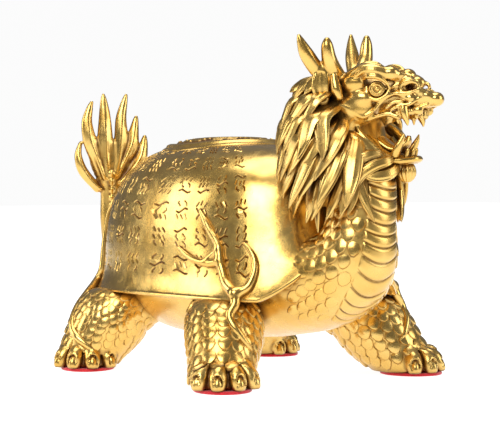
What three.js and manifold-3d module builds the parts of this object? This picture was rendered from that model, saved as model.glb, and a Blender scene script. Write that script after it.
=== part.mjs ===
/*
 * Dragon turtle: a cast brass statue of a turtle with a dragon's head, standing on four felt pads.
 *
 * The frame is right-handed, in millimetres: the turtle faces -Y, its left side is +X and +Z is up.
 * The origin is the middle of the statue's footprint, on the ground under its pads.
 */
import * as THREE from "three";
import { mergeVertices } from "three/addons/utils/BufferGeometryUtils.js";
import Module from "manifold-3d";

const wasm = await Module();
wasm.setup();

// Driving dimensions of the stance.
const PAD_THICKNESS = 1.5;
const PAD_HALF_WIDTH = 13.2;
const PAD_HALF_LENGTH = 15.4;
const SOLE_REACH = 55; // from the middle plane to a sole's middle, and from mid-length to it

// Driving dimensions of the shell.
const RIM_HEIGHT = 40.5;
const SHELL_TOP = 112;
const SHELL_HALF_WIDTH = 53;
const SHELL_HALF_LENGTH = 80;
const SHELL_MIDDLE_Y = 9;
const COLLAR_RISE = 30; // how far the rim arches up over the neck
const COLLAR_HALF_WIDTH = 41;
const TAIL_NOTCH_RISE = 7;
const DOME_POWER = 3.2; // high, so the flanks stand steep and the back is flat
const FRONT_POWER = 3; // squarer in plan at the front corners
const REAR_POWER = 2.5;
const FLARE = 0.05;
const FLARE_DEPTH = 0.07;
const COLLAR_FLARE = 0.07;

// Driving dimensions of the head, whose own frame also faces -Y.
const HEAD_PLACE = [5, -80, 128];
const HEAD_YAW = THREE.MathUtils.degToRad(23);
const LEFT_LIFT = 4; // how much taller the left antler stands than the right one

// How far the paws point outward from straight ahead.
const FRONT_PAW_TURN = THREE.MathUtils.degToRad(24);
const HIND_PAW_TURN = THREE.MathUtils.degToRad(42);

// Driving dimensions of the tail's flame.
const FLAME_ROOT = [-9, 109.6, 87];
const FLAME_HEADING = THREE.MathUtils.degToRad(-25); // the fan's width direction in plan

const BRASS = { color: 0xc79a3c, roughness: 0.3, metalness: 1 };
const RED_FELT = { color: 0xc8161d, roughness: 0.95, metalness: 0 };

const LEFT = 1;
const RIGHT = -1;
const SIDES = [LEFT, RIGHT];

/** value to a power, keeping its sign. */
function signedPower(value, power) {
  return Math.sign(value) * Math.abs(value) ** power;
}

/** 0 at a range's start, 1 at its end and smooth between. The range may run either way. */
function ramp(value, start, end) {
  const share = THREE.MathUtils.clamp((value - start) / (end - start), 0, 1);
  return share * share * (3 - 2 * share);
}

/** A closed solid from a three.js geometry. */
function solidOf(geometry) {
  const bare = geometry.clone();
  bare.deleteAttribute("normal");
  bare.deleteAttribute("uv");
  const merged = mergeVertices(bare, 1e-4);
  const mesh = new wasm.Mesh({
    numProp: 3,
    vertProperties: merged.attributes.position.array,
    triVerts: new Uint32Array(merged.index.array),
  });
  return new wasm.Manifold(mesh);
}

/** One solid from many geometries. */
function joined(geometries) {
  return geometries.map(solidOf).reduce((whole, next) => whole.add(next));
}

/** A geometry of rings of equal count, closed at both ends onto a pole. */
function ringed(rings, startPole, endPole) {
  const count = rings[0].length;
  const points = [...rings.flat(), startPole, endPole];
  const at = (ring, i) => ring * count + (i % count);
  const start = rings.length * count;
  const faces = [];
  for (let i = 0; i < count; i++) {
    faces.push(start, at(0, i), at(0, i + 1));
    faces.push(start + 1, at(rings.length - 1, i + 1), at(rings.length - 1, i));
    for (let ring = 0; ring + 1 < rings.length; ring++) {
      faces.push(at(ring, i), at(ring + 1, i), at(ring, i + 1));
      faces.push(at(ring, i + 1), at(ring + 1, i), at(ring + 1, i + 1));
    }
  }
  const geometry = new THREE.BufferGeometry().setFromPoints(points);
  geometry.setIndex(faces);
  return geometry;
}

/**
 * A limb through stations [x, y, z, half width, half depth], with rounded ends, or pointed ones when
 * it has few sides. The width lies square to the path and to up, and the depth square to both.
 */
function limb(stations, { sides = 10, steps = 2, up = [0, 0, 1] } = {}) {
  const centres = stations.map(([x, y, z]) => new THREE.Vector3(x, y, z));
  const sizes = stations.map(([, , , wide, deep]) => new THREE.Vector3(wide, deep ?? wide, 0));
  const path = new THREE.CatmullRomCurve3(centres, false, "catmullrom");
  const growth = new THREE.CatmullRomCurve3(sizes, false, "catmullrom");
  const total = (stations.length - 1) * steps;
  const reference = new THREE.Vector3(...up);
  const ringAt = (t, slide, share) => {
    const tangent = path.getTangent(t);
    const wideWay = new THREE.Vector3().crossVectors(tangent, reference).normalize();
    const deepWay = new THREE.Vector3().crossVectors(wideWay, tangent);
    const size = growth.getPoint(t);
    const centre = path.getPoint(t).addScaledVector(tangent, slide * Math.min(size.x, size.y));
    const ring = [];
    for (let i = 0; i < sides; i++) {
      const turn = (2 * Math.PI * i) / sides;
      const point = centre.clone().addScaledVector(wideWay, share * size.x * Math.cos(turn));
      ring.push(point.addScaledVector(deepWay, share * size.y * Math.sin(turn)));
    }
    return { ring, centre };
  };
  const rings = Array.from({ length: total + 1 }, (_, k) => ringAt(k / total, 0, 1).ring);
  const rounded = sides >= 8;
  if (rounded) {
    rings.unshift(ringAt(0, -0.6, 0.75).ring);
    rings.push(ringAt(1, 0.6, 0.75).ring);
  }
  const reach = rounded ? 0.95 : 0.7;
  return ringed(rings, ringAt(0, -reach, 0).centre, ringAt(1, reach, 0).centre);
}

/** An ellipsoid with its middle at place, turned by yaw about Z after pitch about X. */
function ball(place, radii, { yaw = 0, pitch = 0, around = 12, down = 8 } = {}) {
  const geometry = new THREE.SphereGeometry(1, around, down);
  geometry.rotateX(Math.PI / 2);
  geometry.scale(...radii);
  geometry.rotateX(pitch);
  geometry.rotateZ(yaw);
  return geometry.translate(...place);
}

/** The height of the shell's rim at an angle from the front, rising over the neck and the tail. */
function rimHeight(x, y) {
  const front = ramp(y - SHELL_MIDDLE_Y, 0, -60);
  const arch = Math.max(0, 1 - Math.abs(x) / COLLAR_HALF_WIDTH) ** 1.1;
  const rear = ramp(y - SHELL_MIDDLE_Y, 50, 75) * Math.max(0, 1 - Math.abs(x) / 30) ** 2;
  return RIM_HEIGHT + COLLAR_RISE * front * arch + TAIL_NOTCH_RISE * rear;
}

/** A point of the shell's outside. turn runs from 0 at the front, and rise from 0 at the rim to 1. */
function shellPoint(turn, rise) {
  const facing = Math.cos(turn);
  const squareness = ramp(facing, 0, 0.6) * ramp(rise, 0.5, 0);
  const power = 2 / THREE.MathUtils.lerp(REAR_POWER, FRONT_POWER, squareness);
  const dome = (1 - Math.max(0, rise) ** DOME_POWER) ** (1 / DOME_POWER);
  const collar = COLLAR_FLARE * ramp(facing, 0.1, 0.8);
  const skirt = (FLARE + collar) * Math.exp(-Math.max(0, rise) / (FLARE_DEPTH + collar));
  const size = dome * (1 - FLARE) + skirt;
  const x = size * SHELL_HALF_WIDTH * signedPower(Math.sin(turn), power);
  const y = SHELL_MIDDLE_Y - size * SHELL_HALF_LENGTH * signedPower(facing, power);
  const foot = rimHeight(x, y);
  return new THREE.Vector3(x, y, foot + (SHELL_TOP - foot) * rise);
}

/** The shell: a steep dome with a flared rim, and its domed medallion. */
function shell() {
  const around = 36;
  const rises = [0, 0.04, 0.1, 0.22, 0.42, 0.6, 0.75, 0.87, 0.96];
  const ringAt = (rise, inset = 1, drop = 0) =>
    Array.from({ length: around }, (_, i) => {
      const point = shellPoint((-2 * Math.PI * i) / around, rise);
      point.x *= inset;
      point.y = SHELL_MIDDLE_Y + (point.y - SHELL_MIDDLE_Y) * inset;
      point.z -= drop;
      return point;
    });
  const rings = [ringAt(0, 0.8, 1), ringAt(0, 0.97, 2), ...rises.map((rise) => ringAt(rise))];
  const inside = new THREE.Vector3(0, SHELL_MIDDLE_Y, RIM_HEIGHT + 4);
  const crown = new THREE.Vector3(0, SHELL_MIDDLE_Y, SHELL_TOP);
  const medallion = ball([0, 6, SHELL_TOP - 1.5], [27, 38, 4], { around: 18, down: 6 });
  return [ringed(rings, inside, crown), medallion];
}

/** The turtle's trunk under the shell, with its belly. */
function trunk() {
  return [ball([0, 9, 43], [47, 75, 27], { around: 14, down: 9 })];
}

/** The neck, from the deep chest up to the skull. */
function neck() {
  const stations = [
    [0, -32, 40, 37, 18],
    [0, -58, 45, 30, 21],
    [1, -79, 56, 20.5, 19],
    [1.5, -84.5, 72, 15.5, 15.5],
    [3, -83, 90, 15, 15.5],
    [5, -75, 112, 14, 16],
  ];
  return [limb(stations, { sides: 12, steps: 2, up: [0, 1, 0.2] })];
}

/** A paw: a domed foot and its clawed toes, fanned about heading. */
function paw(x, y, heading, toes) {
  const parts = [ball([x, y, 6], [14, 15, 9.5], { yaw: heading, around: 10, down: 6 })];
  const fan = THREE.MathUtils.degToRad(36);
  for (let i = 0; i < toes; i++) {
    const way = heading + fan * (i - (toes - 1) / 2);
    const reach = (distance) => [x + distance * Math.sin(way), y - distance * Math.cos(way)];
    const toe = [[...reach(8), 7, 4.6, 5], [...reach(13.5), 5.2, 4.2, 4.4], [...reach(17), 2.4, 2, 1.6]];
    parts.push(limb(toe, { sides: 6, steps: 1 }));
  }
  return parts;
}

/** A front leg on one side, from under the rim forward and out to its paw. */
function frontLeg(side) {
  const stations = [
    [side * 30, -28, 34, 12, 12],
    [side * 40, -38, 30, 16.5, 16.5],
    [side * 44.5, -44, 23, 17.3, 17.3],
    [side * 50.5, -51, 13, 15, 15],
    [side * 53.5, -54.5, 6, 13.5, 13.5],
  ];
  const leg = limb(stations, { sides: 10, steps: 1, up: [0, 1, 0] });
  return [leg, ...paw(side * SOLE_REACH, -SOLE_REACH - 1, side * FRONT_PAW_TURN, 4)];
}

/** A hind leg on one side: a broad thigh over a low paw. */
function hindLeg(side) {
  const stations = [
    [side * 29, 40, 34, 12, 14],
    [side * 39, 47.5, 31, 16.5, 19],
    [side * 45, 51, 24, 17.5, 19.5],
    [side * 52, 54.5, 13, 15, 16],
    [side * 55, 56, 6, 13.5, 14],
  ];
  const leg = limb(stations, { sides: 10, steps: 1, up: [0, 1, 0] });
  return [leg, ...paw(side * SOLE_REACH, SOLE_REACH, side * HIND_PAW_TURN, 4)];
}

/** The skull, snout, jaw and beard, which lie on the head's middle plane. */
function headCore() {
  const along = { sides: 10, steps: 1 };
  const snout = [
    [0, -8, 3, 12.5, 9],
    [0, -20, 1.5, 10, 7],
    [0, -29, 0.5, 7.8, 5.2],
    [0, -35.5, 0, 5, 3.8],
  ];
  const jaw = [
    [0, 2, -13, 13, 8],
    [0, -7, -20.5, 12, 7.5],
    [0, -15, -25, 10, 4.6],
    [0, -23.5, -26, 7.5, 3],
  ];
  return [
    ball([0, 2, 1], [15, 19, 13.5], { around: 12, down: 7 }),
    limb(snout, along),
    ball([0, -36.5, 0.3], [4.6, 4, 3.6], { around: 8, down: 4 }),
    limb(jaw, { sides: 8, steps: 1 }),
    ball([0, -22.5, -32], [5, 4.4, 4.6], { around: 8, down: 5 }),
  ];
}

/** One side of the head's paired parts: nostril, eye, cheek, brow, lip ridge, fangs, ear and antler. */
function headSide(side) {
  const lift = side === LEFT ? LEFT_LIFT : 0;
  const sideways = (stations) => stations.map(([x, ...rest]) => [side * x, ...rest]);
  const along = (...stations) => limb(sideways(stations), { sides: 6, steps: 1 });
  const upright = (...stations) => limb(sideways(stations), { sides: 6, steps: 1, up: [0, 1, 0] });
  return [
    ball([side * 5.5, -26, 6], [4, 4.6, 4], { around: 8, down: 4 }),
    ball([side * 13, -15, 4.9], [3.4, 4.2, 4.2], { around: 8, down: 4 }),
    ball([side * 10.5, -2, -4], [6.5, 11, 8], { around: 8, down: 5 }),
    along([8, 0, 12, 3], [12, -6, 15 + lift / 3, 3.8], [12.5, -16, 13.5, 3.4], [9, -22, 9, 2]),
    along(
      [14, 7, -5, 1.5],
      [15.5, 1, -2.5, 2],
      [14, -8.5, -7.3, 1.9],
      [11.5, -16, -1.5, 1.9],
      [8, -23, 3, 1.4],
    ),
    upright([8, -25.5, -3, 3, 2], [8.5, -27, -10, 0.7]),
    upright([7, -20, -23.5, 2.4], [7, -23.6, -15.5, 0.7]),
    upright(
      [17.5, 9, -2, 1.4, 2.6],
      [19.5, 9, 3, 1.8, 4.2],
      [19.5, 9, 9.5, 1.8, 4],
      [18, 8.6, 16, 0.8, 1.2],
    ),
    upright(
      [8, 5, 9, 4],
      [15.5, 6, 14, 3.8],
      [18.8, 6.2, 18.5, 3.1],
      [19.8, 6.4, 24 + lift / 2, 2.2],
    ),
    upright(
      [12, 8, 12, 3],
      [18.5, 12, 13.5, 3.5],
      [22.5, 15, 20 + lift / 2, 3.6],
      [25.6, 17, 27 + lift, 1.5],
    ),
  ];
}

/** The head, turned and moved onto the neck. */
function head() {
  const place = new THREE.Matrix4().makeRotationZ(HEAD_YAW).setPosition(...HEAD_PLACE);
  const parts = [...headCore(), ...SIDES.flatMap(headSide)];
  return parts.map((part) => part.applyMatrix4(place));
}

/** The middle of the neck at a height, which the mane hangs round. */
function neckMiddle(z) {
  const up = THREE.MathUtils.clamp((z - 72) / 45, 0, 1);
  return new THREE.Vector2(1.5 + 4 * up, -84.5 + 9 * up ** 2);
}

/** One tier of the mane: a skirt round the neck with a toothed hem, open over the throat. */
function maneTier({ top, hem, wide, narrow, open, locks }) {
  const around = locks * 2;
  const inner = 9;
  const pointAt = (i, fall, reach) => {
    const turn = (-2 * Math.PI * i) / around;
    const away = Math.acos(Math.cos(turn - HEAD_YAW * 0.6));
    const full = ramp(away, open - 0.3, open + 0.25);
    const spread = THREE.MathUtils.lerp(narrow, wide, ramp(away, 0.8, 2.3));
    const tooth = i % 2;
    const z = THREE.MathUtils.lerp(top, hem + 11 * (1 - tooth), fall);
    const far = inner + full * reach * (spread - inner) * (0.9 + 0.1 * tooth);
    const middle = neckMiddle(z);
    return new THREE.Vector3(middle.x + far * Math.sin(turn), middle.y - far * Math.cos(turn), z);
  };
  const profile = [[0, 0.6], [0.25, 1], [0.7, 1.03], [1, 0.95], [0.8, 0.6]];
  const rings = profile.map(([fall, reach]) =>
    Array.from({ length: around }, (_, i) => pointAt(i, fall, reach)),
  );
  const pole = (z) => new THREE.Vector3(neckMiddle(z).x, neckMiddle(z).y, z);
  return ringed(rings.reverse(), pole(hem + 14), pole(top));
}

/** The mane: tiers of locks from behind the ears down over the shell's front. */
function mane() {
  return [
    maneTier({ top: 134, hem: 115, wide: 28, narrow: 21, open: 1.7, locks: 11 }),
    maneTier({ top: 125, hem: 98, wide: 32, narrow: 23, open: 1.45, locks: 12 }),
    maneTier({ top: 110, hem: 76, wide: 34, narrow: 19, open: 0.8, locks: 13 }),
  ];
}

/** The tail: a root that climbs behind the shell and spreads into a flame of flat tongues. */
function tail() {
  const [x, y, z] = FLAME_ROOT;
  const across = [Math.cos(FLAME_HEADING), Math.sin(FLAME_HEADING)];
  const square = [-across[1], across[0], 0];
  const inFan = (w, rise, wide, deep) => [x + w * across[0], y + w * across[1], z + rise, wide, deep];
  const root = [
    [0, 70, 44, 8, 8],
    [-2, 94, 45, 7.5, 7],
    [-6, 106, 56, 6.5, 6],
    [-8, 109, 72, 6, 5],
    inFan(1.5, 2, 6.5, 4.6),
    inFan(1.5, 15, 12.5, 5),
    inFan(2, 25, 13.5, 3.6),
  ];
  // Each tongue: how far across its tip lies, how high, how wide its middle is and where it starts.
  const tongues = [
    [-14.8, 27.5, 2, 1],
    [-9, 49, 2.8, 14],
    [-2.8, 53, 3.4, 14],
    [9.5, 53, 3.3, 14],
    [15, 41.5, 2.6, 14],
    [19.6, 31, 2.8, 8],
  ];
  const blades = tongues.map(([tip, height, wide, start]) =>
    limb(
      [
        inFan(tip * 0.45, start, wide, 2.6),
        inFan(tip * 0.95, start + (height - start) * 0.45, wide * 1.15, 2.6),
        inFan(tip * 0.95, start + (height - start) * 0.8, wide * 0.8, 2),
        inFan(tip, height - 0.8, 1, 0.9),
      ],
      { sides: 6, steps: 1, up: square },
    ),
  );
  return [limb(root, { sides: 8, steps: 1, up: square }), ...blades];
}

/** A station of a tendril lying on the shell, on one side, that stands out by proud. */
function onShell(side, turn, rise, thick, proud = 0.8) {
  const point = shellPoint(side * THREE.MathUtils.degToRad(turn), rise);
  return [point.x + side * proud, point.y, point.z, thick];
}

/** A smooth tendril that climbs a front leg, crosses the rim and forks on the shell's flank. */
function frontTendril(side) {
  const lying = (turn, rise, thick) => onShell(side, turn, rise, thick);
  const fork = lying(48.5, 0.01, 2.4);
  const knot = lying(56, 0.225, 2);
  const strands = [
    [[side * 44.5, -63, 19, 0.9], [side * 49.5, -61, 26, 1.8], [side * 50, -57, 32, 2.1], fork],
    [fork, lying(53.5, 0.1, 2.1), knot, lying(57.5, 0.35, 1.7), lying(66, 0.54, 0.8)],
    [knot, lying(64, 0.205, 1.6), lying(76.5, 0.305, 0.8)],
    [fork, lying(41, 0.07, 1.9), lying(37.5, 0.18, 1.6), lying(43.5, 0.32, 0.8)],
  ];
  return strands.map((strand) => limb(strand, { sides: 5, steps: 1 }));
}

/** A tendril that comes down the shell's rear corner and round the hind leg to its paw. */
function hindTendril(side) {
  const stations = [
    onShell(side, 141, 0.5, 0.8),
    onShell(side, 140, 0.22, 1.8),
    onShell(side, 138, 0, 2.2),
    [side * 55.5, 60, 35, 2],
    [side * 63.5, 56, 24.5, 2],
    [side * 65.5, 49.5, 18, 2],
    [side * 60.5, 42.5, 10.5, 1.8],
    [side * 55, 40.5, 8.5, 0.9],
  ];
  return [limb(stations, { sides: 5, steps: 1 })];
}

/** The whole casting as one solid, cut flat at the soles, with the closed pockets in the mane filled. */
function casting() {
  const shapes = [...trunk(), ...shell(), ...neck(), ...head(), ...mane(), ...tail()];
  for (const side of SIDES) {
    shapes.push(...frontLeg(side), ...hindLeg(side), ...frontTendril(side), ...hindTendril(side));
  }
  const ground = new THREE.BoxGeometry(400, 400, 40).translate(0, 0, PAD_THICKNESS - 20);
  const bodies = joined(shapes).subtract(solidOf(ground)).decompose();
  return bodies.reduce((most, body) => (body.volume() > most.volume() ? body : most));
}

/** A felt pad under one sole. */
function pad(x, y, heading) {
  const outline = new THREE.CylinderGeometry(1, 1, PAD_THICKNESS, 20);
  outline.rotateX(Math.PI / 2);
  outline.scale(PAD_HALF_WIDTH, PAD_HALF_LENGTH, 1);
  outline.translate(0, -2.5, PAD_THICKNESS / 2);
  return outline.rotateZ(heading).translate(x, y, 0);
}

/** A mesh for the group, from a solid. */
function meshOf(name, solid, finish) {
  const { numProp, vertProperties, triVerts } = solid.getMesh();
  const geometry = new THREE.BufferGeometry();
  geometry.setAttribute("position", new THREE.BufferAttribute(new Float32Array(vertProperties), numProp));
  geometry.setIndex(new THREE.BufferAttribute(new Uint32Array(triVerts), 1));
  geometry.computeVertexNormals();
  const mesh = new THREE.Mesh(geometry, new THREE.MeshStandardMaterial(finish));
  mesh.name = name;
  return mesh;
}

const statue = new THREE.Group();
statue.add(meshOf("dragon_turtle", casting(), BRASS));
for (const [word, side] of [["left", LEFT], ["right", RIGHT]]) {
  const front = pad(side * SOLE_REACH, -SOLE_REACH - 1, side * FRONT_PAW_TURN);
  const hind = pad(side * SOLE_REACH, SOLE_REACH, side * HIND_PAW_TURN);
  statue.add(meshOf(`front_${word}_pad`, solidOf(front), RED_FELT));
  statue.add(meshOf(`hind_${word}_pad`, solidOf(hind), RED_FELT));
}

export default statue;
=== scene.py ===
"""The looks of the dragon turtle: a cast brass statue that stands on four red felt pads.

Every length here is in millimetres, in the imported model's own frame: the turtle faces -Y, its left
side is +X and +Z is up. A mesh is turned into metres when it becomes a piece.
"""

import logging
import math
from dataclasses import dataclass, field
from enum import Enum
from typing import Callable, Sequence

import bpy
import numpy as np
from mathutils import Matrix, Vector
from mathutils.geometry import delaunay_2d_cdt


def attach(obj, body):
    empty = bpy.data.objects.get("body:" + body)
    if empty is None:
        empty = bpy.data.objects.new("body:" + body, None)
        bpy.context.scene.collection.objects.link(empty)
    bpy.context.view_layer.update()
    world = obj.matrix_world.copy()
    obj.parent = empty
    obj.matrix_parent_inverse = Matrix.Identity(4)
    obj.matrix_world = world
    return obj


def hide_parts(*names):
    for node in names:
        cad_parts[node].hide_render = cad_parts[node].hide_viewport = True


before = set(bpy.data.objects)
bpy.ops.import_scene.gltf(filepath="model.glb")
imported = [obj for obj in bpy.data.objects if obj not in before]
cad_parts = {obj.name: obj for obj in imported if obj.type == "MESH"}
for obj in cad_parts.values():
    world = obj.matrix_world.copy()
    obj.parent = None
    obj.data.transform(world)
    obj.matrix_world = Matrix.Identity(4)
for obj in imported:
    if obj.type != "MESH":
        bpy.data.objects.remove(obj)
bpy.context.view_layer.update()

LOG = logging.getLogger("dragon_turtle")
METRES = 0.001
CASTING_NODE = "dragon_turtle"
BODY = "root"
Station = Sequence[float]


class Side(Enum):
    """A side of the turtle, as the sign of X there."""

    LEFT = 1
    RIGHT = -1


class Slot(Enum):
    """A material slot."""

    BRASS = "brass"
    FELT = "red_felt"


def ramp(value: np.ndarray | float, start: float, end: float) -> np.ndarray:
    """Rise smoothly from 0 to 1 across a range that may run either way.

    Args:
        value: Where on the range, as a number or an array.
        start: Where the result leaves 0.
        end: Where the result reaches 1.

    Returns:
        The share of the way, eased at both ends.
    """
    share = np.clip((np.asarray(value, float) - start) / (end - start), 0, 1)
    return share * share * (3 - 2 * share)


def signed_power(value: np.ndarray, power: np.ndarray | float) -> np.ndarray:
    """Raise the size of a value to a power and keep its sign."""
    return np.sign(value) * np.abs(value) ** power


def unit(vectors: np.ndarray) -> np.ndarray:
    """Scale vectors along the last axis to length 1."""
    return vectors / np.maximum(np.linalg.norm(vectors, axis=-1, keepdims=True), 1e-9)


def smooth_path(stations: Sequence[Station], per_span: int) -> np.ndarray:
    """Fill in a smooth curve through stations.

    Args:
        stations: Rows of numbers, of which the first three are a place.
        per_span: How many rows each stretch between two stations becomes.

    Returns:
        The rows of the curve, with the last station at its end.
    """
    rows = np.asarray(stations, float)
    padded = np.vstack([2 * rows[0] - rows[1], rows, 2 * rows[-1] - rows[-2]])
    t = np.linspace(0, 1, per_span, endpoint=False)[:, None]
    spans = []
    for a, b, c, d in zip(padded, padded[1:], padded[2:], padded[3:]):
        bend = (2 * a - 5 * b + 4 * c - d) * t**2 + (3 * b - a - 3 * c + d) * t**3
        spans.append(0.5 * (2 * b + (c - a) * t + bend))
    return np.vstack([*spans, rows[-1:]])


def frames_along(places: np.ndarray, up: Sequence[float]) -> tuple[np.ndarray, np.ndarray, np.ndarray]:
    """Find the directions along and across a path.

    Args:
        places: The path's points.
        up: The direction that the first way across is square to.

    Returns:
        The unit tangents, the ways across and the ways square to both.
    """
    tangents = unit(np.gradient(places, axis=0))
    wide_ways = np.cross(tangents, np.asarray(up, float))
    lengths = np.linalg.norm(wide_ways, axis=1)
    steady = np.nonzero(lengths > 0.25)[0]
    if len(steady) == 0:
        wide_ways = np.cross(tangents, np.roll(np.asarray(up, float), 1))
    else:
        for row in np.nonzero(lengths <= 0.25)[0]:
            nearest = wide_ways[steady[np.abs(steady - row).argmin()]]
            wide_ways[row] = nearest - (nearest @ tangents[row]) * tangents[row]
    wide_ways = unit(wide_ways)
    return tangents, wide_ways, unit(np.cross(wide_ways, tangents))


def yaw_matrix(yaw: float) -> np.ndarray:
    """Make the 3 by 3 turn about Z by an angle in radians."""
    c, s = math.cos(yaw), math.sin(yaw)
    return np.array([[c, -s, 0.0], [s, c, 0.0], [0.0, 0.0, 1.0]])


@dataclass
class Form:
    """A mesh in millimetres, as points with quads and triangles."""

    points: np.ndarray
    quads: np.ndarray
    triangles: np.ndarray = field(default_factory=lambda: np.zeros((0, 3), np.int64))

    @staticmethod
    def joined(forms: Sequence["Form"]) -> "Form":
        """Put several forms together as one."""
        starts = np.cumsum([0, *[len(form.points) for form in forms]])
        return Form(
            np.vstack([form.points for form in forms]),
            np.vstack([form.quads + start for form, start in zip(forms, starts)]),
            np.vstack([form.triangles + start for form, start in zip(forms, starts)]),
        )

    def corners(self) -> np.ndarray:
        """Cut every face into triangles of point numbers."""
        halves = [self.quads[:, [0, 1, 2]], self.quads[:, [0, 2, 3]], self.triangles]
        return np.vstack(halves)

    def volume(self) -> float:
        """Measure the signed volume, which is below 0 when the faces point inwards."""
        a, b, c = (self.points[self.corners()[:, k]] for k in range(3))
        return float(np.einsum("ij,ij->i", a, np.cross(b, c)).sum() / 6)

    def reversed(self) -> "Form":
        """Turn every face over."""
        return Form(self.points, self.quads[:, ::-1], self.triangles[:, ::-1])

    def outward(self) -> "Form":
        """Turn the faces over if they point inwards."""
        return self.reversed() if self.volume() < 0 else self

    def mirrored(self) -> "Form":
        """Make the form for the turtle's other side."""
        return Form(self.points * [-1, 1, 1], self.quads, self.triangles).reversed()

    def placed(self, yaw: float, place: Sequence[float]) -> "Form":
        """Turn the form about Z and then move it."""
        return Form(self.points @ yaw_matrix(yaw).T + place, self.quads, self.triangles)

    def edges(self) -> np.ndarray:
        """List each edge once, as pairs of point numbers."""
        loops = [(self.quads, 4), (self.triangles, 3)]
        pairs = [np.stack([f[:, k], f[:, (k + 1) % n]], 1) for f, n in loops for k in range(n)]
        both = np.sort(np.vstack(pairs), axis=1)
        keys = np.unique(both[:, 0].astype(np.int64) * len(self.points) + both[:, 1])
        return np.stack([keys // len(self.points), keys % len(self.points)], 1)

    def neighbour_mean(self, edges: np.ndarray, values: np.ndarray) -> np.ndarray:
        """Average a value over the points joined to each point by an edge."""
        ends = np.concatenate([edges[:, 0], edges[:, 1]])
        others = np.concatenate([edges[:, 1], edges[:, 0]])
        count = np.bincount(ends, minlength=len(self.points))
        columns = values.reshape(len(self.points), -1).T
        sums = [np.bincount(ends, column[others], len(self.points)) for column in columns]
        return (np.stack(sums, 1) / np.maximum(count, 1)[:, None]).reshape(values.shape)


class Shape:
    """A solid that can tell roughly how far any point is from its skin."""

    low: np.ndarray
    high: np.ndarray

    def distance(self, points: np.ndarray, margin: float) -> np.ndarray:
        """Measure from points to the skin, below 0 inside.

        Args:
            points: The points.
            margin: How far from the skin the result still has to be true.

        Returns:
            The distances.
        """
        raise NotImplementedError


def scaled_distance(local: np.ndarray, radii: np.ndarray) -> np.ndarray:
    """Estimate the distance to an ellipsoid's skin from points in its own axes."""
    near = np.linalg.norm(local / radii, axis=-1)
    slope = np.linalg.norm(local / radii**2, axis=-1)
    return near * (near - 1) / np.maximum(slope, 1e-6)


@dataclass
class Ball(Shape):
    """An ellipsoid, tipped by pitch about X, by roll about Y and then turned by yaw about Z."""

    place: Sequence[float]
    radii: Sequence[float]
    yaw: float = 0.0
    pitch: float = 0.0
    roll: float = 0.0

    def __post_init__(self) -> None:
        """Work out the turn and the box round the ball."""
        turn = Matrix.Rotation(self.yaw, 3, "Z") @ Matrix.Rotation(self.roll, 3, "Y")
        self.turn = np.array(turn @ Matrix.Rotation(self.pitch, 3, "X"))
        reach = np.sqrt(((self.turn * self.radii) ** 2).sum(1))
        self.low, self.high = np.asarray(self.place) - reach, np.asarray(self.place) + reach

    def distance(self, points: np.ndarray, margin: float) -> np.ndarray:
        """Measure from points to the skin, below 0 inside."""
        return scaled_distance((points - self.place) @ self.turn, np.asarray(self.radii, float))


@dataclass
class Limb(Shape):
    """A swept solid through stations of place, half width and half depth."""

    stations: Sequence[Station]
    up: Sequence[float] = (0.0, 0.0, 1.0)
    per_span: int = 4

    def __post_init__(self) -> None:
        """Work out the path, its sizes and the box round it."""
        rows = [[*s, s[3]] if len(s) == 4 else list(s) for s in self.stations]
        self.path = smooth_path(rows, self.per_span)
        self.path[:, 3:] = np.maximum(self.path[:, 3:], 0.15)
        _, self.wide_ways, self.deep_ways = frames_along(self.path[:, :3], self.up)
        reach = self.path[:, 3:].max(1)[:, None]
        self.low = (self.path[:, :3] - reach).min(0)
        self.high = (self.path[:, :3] + reach).max(0)

    def distance(self, points: np.ndarray, margin: float) -> np.ndarray:
        """Measure from points to the skin, below 0 inside."""
        best = np.full(len(points), 1e3)
        spans = zip(self.path, self.path[1:], self.wide_ways, self.deep_ways)
        for start, end, wide_way, deep_way in spans:
            reach = margin + max(start[3:].max(), end[3:].max())
            low = np.minimum(start[:3], end[:3]) - reach
            high = np.maximum(start[:3], end[:3]) + reach
            near = np.nonzero(((points > low) & (points < high)).all(1))[0]
            if not len(near):
                continue
            here = points[near] - start[:3]
            along = end[:3] - start[:3]
            share = np.clip(here @ along / max(along @ along, 1e-9), 0, 1)[:, None]
            off = here - share * along
            sizes = start[3:] + share * (end[3:] - start[3:])
            local = off @ np.stack([wide_way, deep_way, np.cross(wide_way, deep_way)], 1)
            radii = np.concatenate([sizes, sizes.min(1, keepdims=True)], 1)
            best[near] = np.minimum(best[near], scaled_distance(local, radii))
        return best


@dataclass
class Below(Shape):
    """Everything under a height."""

    height: float

    def __post_init__(self) -> None:
        """Make the box as wide as any statue."""
        self.low, self.high = np.array([-1e3, -1e3, -1e3]), np.array([1e3, 1e3, self.height])

    def distance(self, points: np.ndarray, margin: float) -> np.ndarray:
        """Measure from points to the skin, below 0 inside."""
        return points[:, 2] - self.height


@dataclass
class Above(Shape):
    """Everything over a height."""

    height: float

    def __post_init__(self) -> None:
        """Make the box as wide as any statue."""
        self.low, self.high = np.array([-1e3, -1e3, self.height]), np.array([1e3, 1e3, 1e3])

    def distance(self, points: np.ndarray, margin: float) -> np.ndarray:
        """Measure from points to the skin, below 0 inside."""
        return self.height - points[:, 2]


def soft_min(a: np.ndarray, b: np.ndarray, blend: float) -> np.ndarray:
    """Take the lesser of two distances, rounded where they are within blend of each other."""
    if blend <= 0:
        return np.minimum(a, b)
    near = np.maximum(blend - np.abs(a - b), 0) / blend
    return np.minimum(a, b) - near * near * blend / 4


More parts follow.
